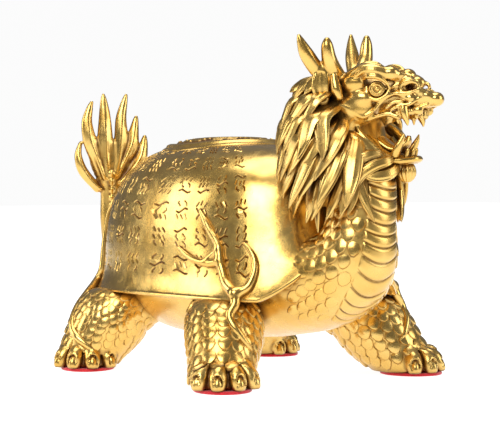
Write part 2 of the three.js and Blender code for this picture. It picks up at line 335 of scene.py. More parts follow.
class Field:
    """A solid kept as distances to its skin on a grid, built by melting shapes together."""

    FAR = 9.0

    def __init__(self, low: Sequence[float], high: Sequence[float], step: float) -> None:
        """Make an empty field.

        Args:
            low: The lowest corner of the grid.
            high: The highest corner of the grid.
            step: The size of its cells.
        """
        self.low = np.asarray(low, float)
        self.step = step
        counts = np.ceil((np.asarray(high, float) - self.low) / step).astype(int) + 1
        self.values = np.full(counts, self.FAR, np.float32)

    def _window(self, low: np.ndarray, high: np.ndarray) -> tuple[tuple[slice, ...], np.ndarray]:
        """Find the part of the grid in a box, and its points."""
        shape = np.array(self.values.shape)
        first = np.clip(np.floor((low - self.low) / self.step).astype(int), 0, shape)
        last = np.clip(np.ceil((high - self.low) / self.step).astype(int) + 1, first, shape)
        axes = [self.low[k] + self.step * np.arange(first[k], last[k]) for k in range(3)]
        points = np.stack(np.meshgrid(*axes, indexing="ij"), -1).reshape(-1, 3)
        return tuple(slice(a, b) for a, b in zip(first, last)), points

    def add(self, shape: Shape, blend: float = 0.0) -> None:
        """Melt a shape onto the solid, with a fillet about as large as blend."""
        margin = blend + 2 * self.step
        window, points = self._window(shape.low - margin, shape.high + margin)
        if len(points):
            here = self.values[window]
            there = shape.distance(points, margin).reshape(here.shape)
            self.values[window] = soft_min(here, there, blend)

    def cut(self, shape: Shape, blend: float = 0.0) -> None:
        """Cut a shape out of the solid, with edges rounded by about blend."""
        margin = blend + 2 * self.step
        window, points = self._window(shape.low - margin, shape.high + margin)
        if len(points):
            here = self.values[window]
            there = shape.distance(points, margin).reshape(here.shape)
            self.values[window] = -soft_min(-here, there, blend)

    def sample(self, points: np.ndarray) -> np.ndarray:
        """Read the distance at any points."""
        place = (points - self.low) / self.step
        limit = np.array(self.values.shape) - 1.001
        place = np.clip(place, 0, limit)
        base = place.astype(int)
        part = place - base
        total = np.zeros(len(points))
        for corner in range(8):
            bits = np.array([corner & 1, corner >> 1 & 1, corner >> 2 & 1])
            weight = np.prod(np.where(bits, part, 1 - part), axis=1)
            total += weight * self.values[tuple((base + bits).T)]
        return total

    def slope(self, points: np.ndarray) -> np.ndarray:
        """Find the direction in which the distance grows, which is the skin's normal."""
        reach = self.step * 0.8
        steps = np.eye(3) * reach
        rise = [self.sample(points + s) - self.sample(points - s) for s in steps]
        return np.stack(rise, 1) / (2 * reach)

    def struck(self, origins: np.ndarray, ways: np.ndarray) -> np.ndarray:
        """Walk out from points inside the solid along rays, to where they meet the skin."""
        reach = np.zeros(len(origins))
        for _ in range(36):
            reach += np.clip(-0.85 * self.sample(origins + reach[:, None] * ways), -1.0, 4.0)
        return origins + reach[:, None] * ways

    def settled(self, points: np.ndarray, rounds: int = 1) -> np.ndarray:
        """Move points onto the skin along its normals."""
        for _ in range(rounds):
            slope = self.slope(points)
            steep = np.maximum((slope**2).sum(1, keepdims=True), 0.05)
            move = self.sample(points)[:, None] * slope / steep
            points = points - np.clip(move, -self.step, self.step)
        return points

    def surface(self, relax: int = 1) -> Form:
        """Make the skin as a mesh of even quads.

        Args:
            relax: How many times the points are evened out and set back on the skin.

        Returns:
            The closed mesh, facing out.
        """
        solid = self.values < 0
        corners = [(i, j, k) for i in (0, 1) for j in (0, 1) for k in (0, 1)]
        cells = tuple(n - 1 for n in solid.shape)
        cut = [tuple(slice(c, c + n) for c, n in zip(corner, cells)) for corner in corners]
        filled = sum(solid[window].astype(np.int8) for window in cut)
        active = np.argwhere((filled > 0) & (filled < 8))
        values = np.stack([self.values[tuple((active + c).T)] for c in corners], 1)
        total = np.zeros((len(active), 3))
        count = np.zeros(len(active))
        for a in range(8):
            for b in range(a + 1, 8):
                if sum(x != y for x, y in zip(corners[a], corners[b])) != 1:
                    continue
                crossed = (values[:, a] < 0) != (values[:, b] < 0)
                gap = np.where(crossed, values[:, a] - values[:, b], 1.0)
                share = (values[:, a] / gap)[:, None]
                place = np.array(corners[a]) + share * (np.array(corners[b]) - corners[a])
                total += np.where(crossed[:, None], place, 0)
                count += crossed
        points = self.low + self.step * (active + total / count[:, None])
        number = np.full(cells, -1, np.int64)
        number[tuple(active.T)] = np.arange(len(active))
        form = Form(points, np.vstack([self._walls(solid, number, axis) for axis in range(3)]))
        edges = form.edges()
        for _ in range(relax):
            form.points = 0.5 * form.points + 0.5 * form.neighbour_mean(edges, form.points)
            form.points = self.settled(form.points)
        return form

    @staticmethod
    def _walls(solid: np.ndarray, number: np.ndarray, axis: int) -> np.ndarray:
        """List the quads square to one axis, which part filled grid points from empty ones."""
        order = (axis, (axis + 1) % 3, (axis + 2) % 3)
        turned, cells = solid.transpose(order), number.transpose(order)
        lower, upper = turned[:-1, 1:-1, 1:-1], turned[1:, 1:-1, 1:-1]
        at = np.argwhere(lower != upper)
        i, j, k = at.T
        around = [cells[i, j, k], cells[i, j + 1, k], cells[i, j + 1, k + 1], cells[i, j, k + 1]]
        quads = np.stack(around, 1)
        outward = lower[i, j, k]
        quads[~outward] = quads[~outward][:, ::-1]
        return quads


def lofted(rings: np.ndarray, closed: bool = True) -> Form:
    """Join rings of points into a solid with a pole at each end.

    Args:
        rings: The points, as ring, place in the ring and coordinate.
        closed: Whether the ends are closed by poles at the end rings' middles.

    Returns:
        The form, facing out when it is closed.
    """
    count, sides = rings.shape[:2]
    grid = np.arange(count * sides).reshape(count, sides)
    after = np.roll(grid, -1, axis=1)
    quads = np.stack([grid[:-1], after[:-1], after[1:], grid[1:]], -1).reshape(-1, 4)
    if not closed:
        return Form(rings.reshape(-1, 3), quads)
    points = np.vstack([rings.reshape(-1, 3), rings[0].mean(0), rings[-1].mean(0)])
    start = np.full(sides, count * sides)
    caps = [np.stack([start, after[0], grid[0]], 1), np.stack([start + 1, grid[-1], after[-1]], 1)]
    return Form(points, quads, np.vstack(caps)).outward()


def swept(rows: np.ndarray, up: Sequence[float], sides: int = 12) -> Form:
    """Sweep an ellipse along rows of place, half width and half depth."""
    _, wide_ways, deep_ways = frames_along(rows[:, :3], up)
    turn = np.linspace(0, 2 * np.pi, sides, endpoint=False)[None, :, None]
    wide = rows[:, None, 3:4] * np.cos(turn) * wide_ways[:, None, :]
    deep = rows[:, None, 4:5] * np.sin(turn) * deep_ways[:, None, :]
    return lofted(rows[:, None, :3] + wide + deep)


class Nodes:
    """A short way to build a material's node tree."""

    def __init__(self, name: str) -> None:
        """Make an empty material with its output and shader.

        Args:
            name: The material's name.
        """
        self.material = bpy.data.materials.new(name)
        self.material.use_nodes = True
        self.tree = self.material.node_tree
        self.shader = self.tree.nodes["Principled BSDF"]
        self.coords = self.add("ShaderNodeTexCoord").outputs["Object"]

    def add(self, kind: str, **settings: object) -> bpy.types.Node:
        """Add a node and set its properties, or its inputs where the name is an input's."""
        node = self.tree.nodes.new(kind)
        for key, value in settings.items():
            if hasattr(node, key):
                setattr(node, key, value)
            else:
                node.inputs[key.replace("_", " ").title()].default_value = value
        return node

    def link(self, source: bpy.types.NodeSocket, target: bpy.types.NodeSocket) -> None:
        """Join an output to an input."""
        self.tree.links.new(source, target)

    def noise(self, scale: float, detail: float = 3.0, stretch: Sequence[float] = (1, 1, 1)) -> bpy.types.NodeSocket:
        """Add noise over the object's own place.

        Args:
            scale: How many cells a metre holds.
            detail: How many finer layers there are.
            stretch: How much faster it changes along each axis.

        Returns:
            The noise's value, from 0 to 1.
        """
        mapping = self.add("ShaderNodeMapping")
        mapping.inputs["Scale"].default_value = stretch
        self.link(self.coords, mapping.inputs["Vector"])
        noise = self.add("ShaderNodeTexNoise", scale=scale, detail=detail)
        self.link(mapping.outputs["Vector"], noise.inputs["Vector"])
        return noise.outputs["Fac"]

    def spread(self, source: bpy.types.NodeSocket, low: float, high: float, start: float, end: float) -> bpy.types.NodeSocket:
        """Map a value's range low to high onto start to end, held at both ends."""
        node = self.add("ShaderNodeMapRange", clamp=True)
        self.link(source, node.inputs["Value"])
        for name, value in zip(("From Min", "From Max", "To Min", "To Max"), (low, high, start, end)):
            node.inputs[name].default_value = value
        return node.outputs["Result"]

    def both(self, kind: str, first: bpy.types.NodeSocket, second: bpy.types.NodeSocket | float) -> bpy.types.NodeSocket:
        """Combine two values by an operation of the Math node."""
        node = self.add("ShaderNodeMath", operation=kind)
        self.link(first, node.inputs[0])
        if isinstance(second, (int, float)):
            node.inputs[1].default_value = second
        else:
            self.link(second, node.inputs[1])
        return node.outputs[0]

    def tint(self, share: bpy.types.NodeSocket, start: Sequence[float], end: Sequence[float]) -> bpy.types.NodeSocket:
        """Mix from one colour to another by a share."""
        node = self.add("ShaderNodeMix", data_type="RGBA")
        self.link(share, node.inputs[0])
        node.inputs[6].default_value = (*start, 1)
        node.inputs[7].default_value = (*end, 1)
        return node.outputs[2]

    def blend(self, share: bpy.types.NodeSocket, start: bpy.types.NodeSocket, end: Sequence[float]) -> bpy.types.NodeSocket:
        """Mix from a linked colour to a fixed one by a share."""
        node = self.add("ShaderNodeMix", data_type="RGBA")
        self.link(share, node.inputs[0])
        self.link(start, node.inputs[6])
        node.inputs[7].default_value = (*end, 1)
        return node.outputs[2]

    def bump(self, height: bpy.types.NodeSocket, depth: float, onto: bpy.types.NodeSocket | None = None) -> bpy.types.NodeSocket:
        """Turn a height from 0 to 1 into a normal.

        Args:
            height: The height's value.
            depth: How many millimetres the value 1 stands for.
            onto: A normal that this one is laid on.

        Returns:
            The normal.
        """
        node = self.add("ShaderNodeBump", distance=depth * METRES)
        self.link(height, node.inputs["Height"])
        if onto is not None:
            self.link(onto, node.inputs["Normal"])
        return node.outputs["Normal"]


@dataclass(frozen=True)
class BrassFinish:
    """Cast brass, bright and satin on what stands out, with brown patina in its hollows and brown painted shade where
    nearby surfaces block the light.
    """

    name: str
    polish: float = 0.26
    # Strength of the brown, which is patina in the hollows together with painted shade from ambient occlusion.
    patina_and_painted_shade: float = 1.0
    grain: float = 0.03
    waviness: float = 0.12
    bright: tuple[float, float, float] = (0.80, 0.53, 0.155)
    warm: tuple[float, float, float] = (0.70, 0.42, 0.09)
    brown: tuple[float, float, float] = (0.17, 0.072, 0.014)
    hollow_reach: float = 5.0
    lustre: float = 0.35

    def make(self) -> bpy.types.Material:
        """Build the material.

        Returns:
            The material, which reads the attribute cavity from -1 on an edge to 1 in a hollow.
        """
        nodes = Nodes(self.name)
        cavity = nodes.add("ShaderNodeAttribute", attribute_name="cavity").outputs["Fac"]
        # Painted shade: ambient occlusion turns the base colour brown where nearby surfaces, other pieces too, block
        # the light.
        shade = nodes.add("ShaderNodeAmbientOcclusion", samples=6)
        shade.inputs["Distance"].default_value = self.hollow_reach * METRES
        occlusion_shade = nodes.spread(shade.outputs["AO"], 0.25, 0.85, 1.0, 0.0)
        # The cavity attribute adds brown patina in the hollows.
        deep = nodes.spread(cavity, 0.05, 0.8, 0.0, 1.0)
        patches = nodes.spread(nodes.noise(140, 4), 0.35, 0.65, 0.75, 1.25)
        both = nodes.both("MAXIMUM", nodes.both("MULTIPLY", occlusion_shade, 0.8), deep)
        patina_and_painted_shade = nodes.both("MULTIPLY", nodes.both("MULTIPLY", both, patches), self.patina_and_painted_shade)
        patina_and_painted_shade = nodes.spread(patina_and_painted_shade, 0.0, 1.0, 0.0, 1.0)
        metal = nodes.tint(nodes.spread(nodes.noise(60, 3), 0.35, 0.68, 0.0, 1.0), self.bright, self.warm)
        # The brown that the base colour is mixed towards is patina in hollows and painted shade from occlusion.
        nodes.link(nodes.blend(patina_and_painted_shade, metal, self.brown), nodes.shader.inputs["Base Color"])
        nodes.shader.inputs["Metallic"].default_value = 1.0
        smears = nodes.spread(nodes.noise(210, 5), 0.3, 0.7, -0.05, 0.07)
        rough = nodes.both("ADD", nodes.both("MULTIPLY", patina_and_painted_shade, 0.3), smears)
        nodes.link(nodes.both("ADD", rough, self.polish), nodes.shader.inputs["Roughness"])
        wavy = nodes.bump(nodes.noise(95, 2), self.waviness)
        grained = nodes.bump(nodes.noise(1500, 4), self.grain, wavy)
        nodes.link(grained, nodes.shader.inputs["Normal"])
        nodes.shader.inputs["Coat Weight"].default_value = self.lustre
        nodes.shader.inputs["Coat Roughness"].default_value = 0.16
        return nodes.material


@dataclass(frozen=True)
class FeltFinish:
    """Pressed red felt, matt and faintly mottled with short fibres."""

    name: str
    light: tuple[float, float, float] = (0.80, 0.018, 0.03)
    dark: tuple[float, float, float] = (0.42, 0.006, 0.012)

    def make(self) -> bpy.types.Material:
        """Build the material."""
        nodes = Nodes(self.name)
        fibres = nodes.noise(2600, 6)
        mottle = nodes.both("ADD", nodes.both("MULTIPLY", fibres, 0.6), nodes.both("MULTIPLY", nodes.noise(420, 3), 0.4))
        colour = nodes.tint(nodes.spread(mottle, 0.35, 0.65, 0.0, 1.0), self.dark, self.light)
        nodes.link(colour, nodes.shader.inputs["Base Color"])
        nodes.shader.inputs["Roughness"].default_value = 0.92
        nodes.shader.inputs["Sheen Weight"].default_value = 0.5
        nodes.shader.inputs["Sheen Roughness"].default_value = 0.5
        nodes.link(nodes.bump(fibres, 0.12), nodes.shader.inputs["Normal"])
        return nodes.material


@dataclass(frozen=True)
class PaperFinish:
    """The pale matt sheet that the statue stands on."""

    name: str
    shade: tuple[float, float, float] = (0.5, 0.5, 0.5)
    glow: float = 0.94

    def make(self) -> bpy.types.Material:
        """Build the material."""
        nodes = Nodes(self.name)
        tone = nodes.spread(nodes.noise(14, 3), 0.3, 0.7, 0.0, 1.0)
        colour = nodes.tint(tone, self.shade, tuple(0.985 * c for c in self.shade))
        nodes.link(colour, nodes.shader.inputs["Base Color"])
        nodes.shader.inputs["Roughness"].default_value = 0.8
        nodes.shader.inputs["Specular IOR Level"].default_value = 0.1
        nodes.shader.inputs["Emission Color"].default_value = (1, 1, 1, 1)
        nodes.shader.inputs["Emission Strength"].default_value = self.glow
        return nodes.material


def mesh_from(name: str, form: Form) -> bpy.types.Mesh:
    """Make a Blender mesh in metres from a form.

    Args:
        name: The mesh's name.
        form: The form in millimetres.

    Returns:
        The mesh, shaded smooth.
    """
    mesh = bpy.data.meshes.new(name)
    quads, triangles = form.quads, form.triangles
    loops = np.concatenate([quads.ravel(), triangles.ravel()]).astype(np.int32)
    starts = np.concatenate(
        [np.arange(len(quads)) * 4, len(quads) * 4 + np.arange(len(triangles)) * 3]
    ).astype(np.int32)
    mesh.vertices.add(len(form.points))
    mesh.vertices.foreach_set("co", (form.points * METRES).astype(np.float32).ravel())
    mesh.loops.add(len(loops))
    mesh.loops.foreach_set("vertex_index", loops)
    mesh.polygons.add(len(starts))
    mesh.polygons.foreach_set("loop_start", starts)
    mesh.update(calc_edges=True)
    mesh.validate()
    mesh.shade_smooth()
    return mesh


def mark_sharp(mesh: bpy.types.Mesh, angle: float) -> None:
    """Shade a mesh with crisp edges wherever two faces meet at more than an angle in radians."""
    mesh.set_sharp_from_angle(angle=angle)


def store(mesh: bpy.types.Mesh, name: str, values: np.ndarray) -> None:
    """Keep one number for each point of a mesh as an attribute."""
    attribute = mesh.attributes.get(name) or mesh.attributes.new(name, "FLOAT", "POINT")
    attribute.data.foreach_set("value", values.astype(np.float32))


def hollows(mesh: bpy.types.Mesh, reach: float, rounds: int = 2) -> np.ndarray:
    """Find how hollow each point's surroundings are.

    Args:
        mesh: The mesh in metres.
        reach: The depth in millimetres that counts as fully hollow.
        rounds: How often the result is evened out.

    Returns:
        A number for each point, from -1 on an edge to 1 in a hollow.
    """
    count = len(mesh.vertices)
    points = np.zeros(count * 3)
    mesh.vertices.foreach_get("co", points)
    points = points.reshape(-1, 3) / METRES
    normals = np.zeros(count * 3)
    mesh.vertex_normals.foreach_get("vector", normals)
    normals = normals.reshape(-1, 3)
    edges = np.zeros(len(mesh.edges) * 2, np.int32)
    mesh.edges.foreach_get("vertices", edges)
    form = Form(points, np.zeros((0, 4), int))
    pairs = edges.reshape(-1, 2)
    middle = points
    for _ in range(rounds):
        middle = form.neighbour_mean(pairs, middle)
    depth = ((middle - points) * normals).sum(1)
    for _ in range(rounds):
        depth = form.neighbour_mean(pairs, depth)
    return np.clip(depth / reach, -1, 1)


@dataclass
class Workshop:
    """Makes finished pieces: a mesh, its material and its body."""

    polished: bpy.types.Material
    satin: bpy.types.Material
    carved: bpy.types.Material
    hair: bpy.types.Material
    scaled: bpy.types.Material
    felt: bpy.types.Material

    def piece(
        self,
        name: str,
        form: Form,
        material: bpy.types.Material,
        slot: Slot = Slot.BRASS,
        stands_for: str = CASTING_NODE,
        crisp: float | None = None,
        cavity: np.ndarray | None = None,
        reach: float = 0.12,
    ) -> bpy.types.Object:
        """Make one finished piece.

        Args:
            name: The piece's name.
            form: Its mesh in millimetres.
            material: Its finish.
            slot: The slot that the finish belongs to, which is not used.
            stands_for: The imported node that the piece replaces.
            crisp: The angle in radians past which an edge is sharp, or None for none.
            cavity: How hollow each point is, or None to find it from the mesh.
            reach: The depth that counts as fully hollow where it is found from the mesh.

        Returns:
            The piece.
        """
        mesh = mesh_from(name, form)
        store(mesh, "cavity", hollows(mesh, reach) if cavity is None else cavity)
        if crisp is not None:
            mark_sharp(mesh, crisp)
        mesh.materials.append(material)
        made = bpy.data.objects.new(name, mesh)
        bpy.context.scene.collection.objects.link(made)
        return self.finished(made, slot, stands_for)

    @staticmethod
    def finished(made: bpy.types.Object, slot: Slot, stands_for: str) -> bpy.types.Object:
        """Set a piece on its body, hide the node it replaces, and log its triangle count."""
        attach(made, BODY)
        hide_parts(stands_for)
        count = sum(len(face.vertices) - 2 for face in made.data.polygons)
        LOG.info("%s: %d triangles", made.name, count)
        return made


@dataclass
class Shell:
    """The shell: a steep flat-backed dome with a flared rim and rows of incised strokes."""

    rim_height: float = 40.5
    top: float = 111.2
    half_width: float = 53.0
    half_length: float = 80.0
    middle_y: float = 9.0
    collar_rise: float = 30.0
    collar_half_width: float = 41.0
    tail_notch_rise: float = 7.0
    dome_power: float = 3.2
    front_power: float = 3.0
    rear_power: float = 2.5
    flare: float = 0.05
    flare_depth: float = 0.07
    collar_flare: float = 0.07
    girth: float = 430.0
    grid: float = 2.4
    stroke_half_width: float = 0.62
    stroke_depth: float = 0.6
    glyph_size: tuple[float, float] = (9.2, 10.4)
    column_pitch: float = 12.4
    row_pitch: float = 12.9
    first_row: float = 13.5
    rows: int = 6
    seed: int = 11

    def foot_height(self, x: np.ndarray, y: np.ndarray) -> np.ndarray:
        """Find the rim's height, which rises over the neck and the tail."""
        front = ramp(y - self.middle_y, 0, -60)
        arch = np.maximum(0, 1 - np.abs(x) / self.collar_half_width) ** 1.1
        rear = ramp(y - self.middle_y, 50, 75) * np.maximum(0, 1 - np.abs(x) / 30) ** 2
        return self.rim_height + self.collar_rise * front * arch + self.tail_notch_rise * rear

    def point(self, turn: np.ndarray, rise: np.ndarray, dome: np.ndarray | None = None) -> np.ndarray:
        """Find points of the shell's outside.

        Args:
            turn: The angle round from the front, in radians, positive to the left.
            rise: The share of the way up, 0 at the rim and 1 at the crown.
            dome: The size of the level there, or None to work it out from rise.

        Returns:
            The points, in a last axis of three.
        """
        turn, rise = np.broadcast_arrays(np.asarray(turn, float), np.asarray(rise, float))
        facing = np.cos(turn)
        squareness = ramp(facing, 0, 0.6) * ramp(rise, 0.5, 0)
        power = 2 / (self.rear_power + (self.front_power - self.rear_power) * squareness)
        if dome is None:
            dome = (1 - np.clip(rise, 0, 1) ** self.dome_power) ** (1 / self.dome_power)
        collar = self.collar_flare * ramp(facing, 0.1, 0.8)
        skirt = (self.flare + collar) * np.exp(-np.maximum(rise, 0) / (self.flare_depth + collar))
        size = dome * (1 - self.flare) + skirt
        x = size * self.half_width * signed_power(np.sin(turn), power)
        y = self.middle_y - size * self.half_length * signed_power(facing, power)
        foot = self.foot_height(x, y)
        return np.stack([x, y, foot + (self.top - foot) * rise], -1)

    def normal(self, turn: np.ndarray, rise: np.ndarray) -> np.ndarray:
        """Find the outward normals at points of the outside."""
        rise = np.clip(rise, 0.004, 0.994)
        across = self.point(turn + 1e-3, rise) - self.point(turn - 1e-3, rise)
        upward = self.point(turn, rise + 1e-3) - self.point(turn, rise - 1e-3)
        return unit(np.cross(across, upward))

    def height_at(self, x: np.ndarray, y: np.ndarray) -> np.ndarray:
        """Find how high the shell's back is over places well inside its outline."""
        power = self.rear_power
        size = (np.abs(x) / self.half_width) ** power + (np.abs(y - self.middle_y) / self.half_length) ** power
        dome = np.clip(size ** (1 / power) / (1 - self.flare), 0, 1)
        foot = self.foot_height(x, y)
        return foot + (self.top - foot) * (1 - dome**self.dome_power) ** (1 / self.dome_power)

    def profile(self) -> tuple[np.ndarray, np.ndarray, np.ndarray]:
        """List the climb in millimetres with the rise and the level's size at each."""
        lift = np.linspace(0, np.pi / 2, 2000)
        rise = np.sin(lift) ** (2 / self.dome_power)
        dome = np.cos(lift) ** (2 / self.dome_power)
        steps = np.hypot(np.diff(rise) * 72, np.diff(dome) * 64)
        return np.concatenate([[0], np.cumsum(steps)]), rise, np.maximum(dome, 0)

    def at(self, u: np.ndarray, v: np.ndarray, depth: np.ndarray) -> np.ndarray:
        """Wrap flat places onto the flank.

        Args:
            u: Millimetres round from the front, where girth is the whole way.
            v: Millimetres of climb from the rim.
            depth: How far each point stands out along the normal.

        Returns:
            The points.
        """
        climb, rises, domes = self.profile()
        turn = 2 * np.pi * u / self.girth
        rise = np.interp(v, climb, rises)
        outside = self.point(turn, rise, np.interp(v, climb, domes))
        sunk = np.abs(depth) > 1e-9
        outside[sunk] += self.normal(turn[sunk], rise[sunk]) * depth[sunk, None]
        return outside

    def glyph(self, chance: np.random.Generator) -> list[np.ndarray]:
        """Make up one mark of loose waves and leaning ticks, in three tiers, that is no letter."""
        sweep = np.linspace(-1, 1, 5)
        marks = []
        for tier in (0.66, 0.0, -0.66):
            lean = chance.choice([-1.0, 1.0])
            kind = chance.integers(3)
            if kind == 0:
                wave = 0.17 * np.sin(np.pi * sweep * chance.uniform(0.9, 1.3)) * lean
                marks.append(np.stack([0.85 * sweep, tier + wave + 0.08 * lean * sweep], 1))
            elif kind == 1:
                for side in (-1, 1):
                    bent = 0.16 * side * (1 - sweep**2) + 0.14 * lean * sweep
                    marks.append(np.stack([0.46 * side + bent, tier + 0.24 * sweep], 1)[::2])
            else:
                for middle in (-0.6, 0.0, 0.6):
                    rise = 0.1 * chance.uniform(-1, 1)
                    marks.append(np.array([(-0.13 * lean, -0.2), (0.13 * lean, 0.2)]) + (middle, tier + rise))
        size = np.array(self.glyph_size) / 2 * chance.uniform(0.9, 1.0, 2)
        return [stroke * size + chance.normal(0, 0.12, stroke.shape) for stroke in marks]

    def strokes(self) -> list[np.ndarray]:
        """Lay columns of marks round the flanks and the back, clear of the front's collar."""
        chance = np.random.default_rng(self.seed)
        columns = int((self.girth * 0.80) // self.column_pitch)
        found = []
        for column in range(columns):
            u = self.girth / 2 + (column - (columns - 1) / 2) * self.column_pitch
            for row in range(self.rows):
                v = self.first_row + row * self.row_pitch
                shrink = [1.0, 1.0] if row < self.rows - 1 else [1.0, 0.9]
                for stroke in self.glyph(chance):
                    found.append(stroke * shrink + [u, v])
        return found

    @staticmethod
    def outline(start: np.ndarray, end: np.ndarray, half_width: float) -> np.ndarray:
        """Draw the outline of one straight stretch of a stroke, with round ends."""
        along = (end - start) / max(np.linalg.norm(end - start), 1e-6)
        heading = math.atan2(along[1], along[0])
        turns = np.linspace(-np.pi / 2, np.pi / 2, 3)
        far = end + half_width * np.stack([np.cos(heading + turns), np.sin(heading + turns)], 1)
        near = start - half_width * np.stack([np.cos(heading + turns), np.sin(heading + turns)], 1)
        return np.vstack([far, near])

    def flat_mesh(self) -> tuple[np.ndarray, np.ndarray, np.ndarray, np.ndarray]:
        """Cut the unrolled flank into triangles with every stroke's outline as edges.

        Returns:
            The flat points, how hollow each is, the triangles, and the columns' places.
        """
        climb = self.profile()[0]
        height = climb[-1] - 5.0
        count = int(round(self.girth / self.grid))
        across = np.linspace(0, self.girth, count + 1)
        up = np.concatenate([[0, 0.6, 1.3, 2.2], np.linspace(3.4, height, int(height / self.grid))])
        grid = np.stack(np.meshgrid(across, up, indexing="ij"), -1).reshape(-1, 2)
        stretches = [(a, b) for stroke in self.strokes() for a, b in zip(stroke, stroke[1:])]
        depth = self.sunk(grid, stretches, self.stroke_half_width + 0.25)
        places, edges = [grid[depth <= 0]], []
        total = len(places[0])
        for start, end in stretches:
            for ring in (self.outline(start, end, self.stroke_half_width), np.stack([start, end])):
                places.append(ring)
                steps = total + np.arange(len(ring))
                edges += list(zip(steps.tolist(), np.roll(steps, -1).tolist()))
                total += len(ring)
        flat = [Vector(place) for place in np.vstack(places)]
        made = delaunay_2d_cdt(flat, edges, [], 0, 1e-4, False)
        points = np.array([tuple(place) for place in made[0]])
        hollow = self.sunk(points, stretches, self.stroke_half_width)
        return points, hollow, np.array([face for face in made[2] if len(face) == 3]), across

    def sunk(self, places: np.ndarray, stretches: Sequence[tuple], half_width: float) -> np.ndarray:
        """Find how deep each flat place lies in the strokes, from 0 outside to 1 at the bottom."""
        order = np.argsort(places[:, 0])
        ordered = places[order]
        deep = np.zeros(len(places))
        for start, end in stretches:
            low = min(start[0], end[0]) - half_width
            high = max(start[0], end[0]) + half_width
            first, last = np.searchsorted(ordered[:, 0], [low, high])
            near = ordered[first:last]
            along = end - start
            share = np.clip((near - start) @ along / max(along @ along, 1e-9), 0, 1)[:, None]
            gap = np.linalg.norm(near - start - share * along, axis=1)
            here = np.clip((half_width - gap) / (half_width * 0.8), 0, 1)
            deep[first:last] = np.maximum(deep[first:last], here)
        result = np.zeros(len(places))
        result[order] = deep
        return result

    def form(self) -> tuple[Form, np.ndarray]:
        """Build the shell.

        Returns:
            The closed form, and how hollow each of its points is.
        """
        flat, hollow, triangles, across = self.flat_mesh()
        points = self.at(flat[:, 0], flat[:, 1], -self.stroke_depth * hollow)
        count = len(across) - 1
        turn = 2 * np.pi * across[:-1] / self.girth
        rim = self.point(turn, np.zeros(count))
        out = self.normal(turn, np.zeros(count)) * [1, 1, 0]
        away = unit(out)
        inward = (rim - [0, self.middle_y, 0]) * [1, 1, 0]
        lip = [(0.5, -0.5), (0.62, -1.1), (0.35, -1.75), (-0.4, -2.1), (-2.2, -1.9)]
        rings = [rim] + [rim + away * o + [0, 0, h] for o, h in lip]
        rings += [rim - inward * share + [0, 0, rise] for share, rise in ((0.12, -0.6), (0.3, 0.5), (0.6, 2.0))]
        grid = np.arange(len(rings) * count).reshape(len(rings), count) + len(points)
        after = np.roll(grid, -1, axis=1)
        quads = np.stack([grid[:-1], grid[1:], after[1:], after[:-1]], -1).reshape(-1, 4)
        pole = len(points) + len(rings) * count
        floor = np.stack([np.full(count, pole), after[-1], grid[-1]], 1)
        top = flat[:, 1].max()
        upper = np.nonzero(flat[:, 1] > top - 1e-3)[0]
        upper = upper[np.argsort(flat[upper, 0])]
        cap = np.stack([np.full(len(upper) - 1, pole + 1), upper[:-1], upper[1:]], 1)
        poles = [[0, self.middle_y, rim[:, 2].mean() + 4], [0, self.middle_y, self.top]]
        every = np.vstack([points, *rings, poles])
        form = Form(every, quads, np.vstack([triangles, floor, cap]))
        hollow = np.concatenate([hollow, np.zeros(len(every) - len(points))])
        return self.welded(form, hollow)

    @staticmethod
    def welded(form: Form, values: np.ndarray) -> tuple[Form, np.ndarray]:
        """Join points that lie on each other, and drop the faces that collapse."""
        keys = np.round(form.points, 3)
        _, first, number = np.unique(keys, axis=0, return_index=True, return_inverse=True)
        number = number.reshape(-1)
        triangles = number[form.triangles]
        a, b, c = triangles.T
        kept = triangles[(a != b) & (b != c) & (a != c)]
        return Form(form.points[first], number[form.quads], kept).outward(), values[first]

    def build(self, shop: Workshop) -> None:
        """Make the shell's piece."""
        form, hollow = self.form()
        shop.piece("shell", form, shop.polished, crisp=math.radians(32), cavity=hollow)


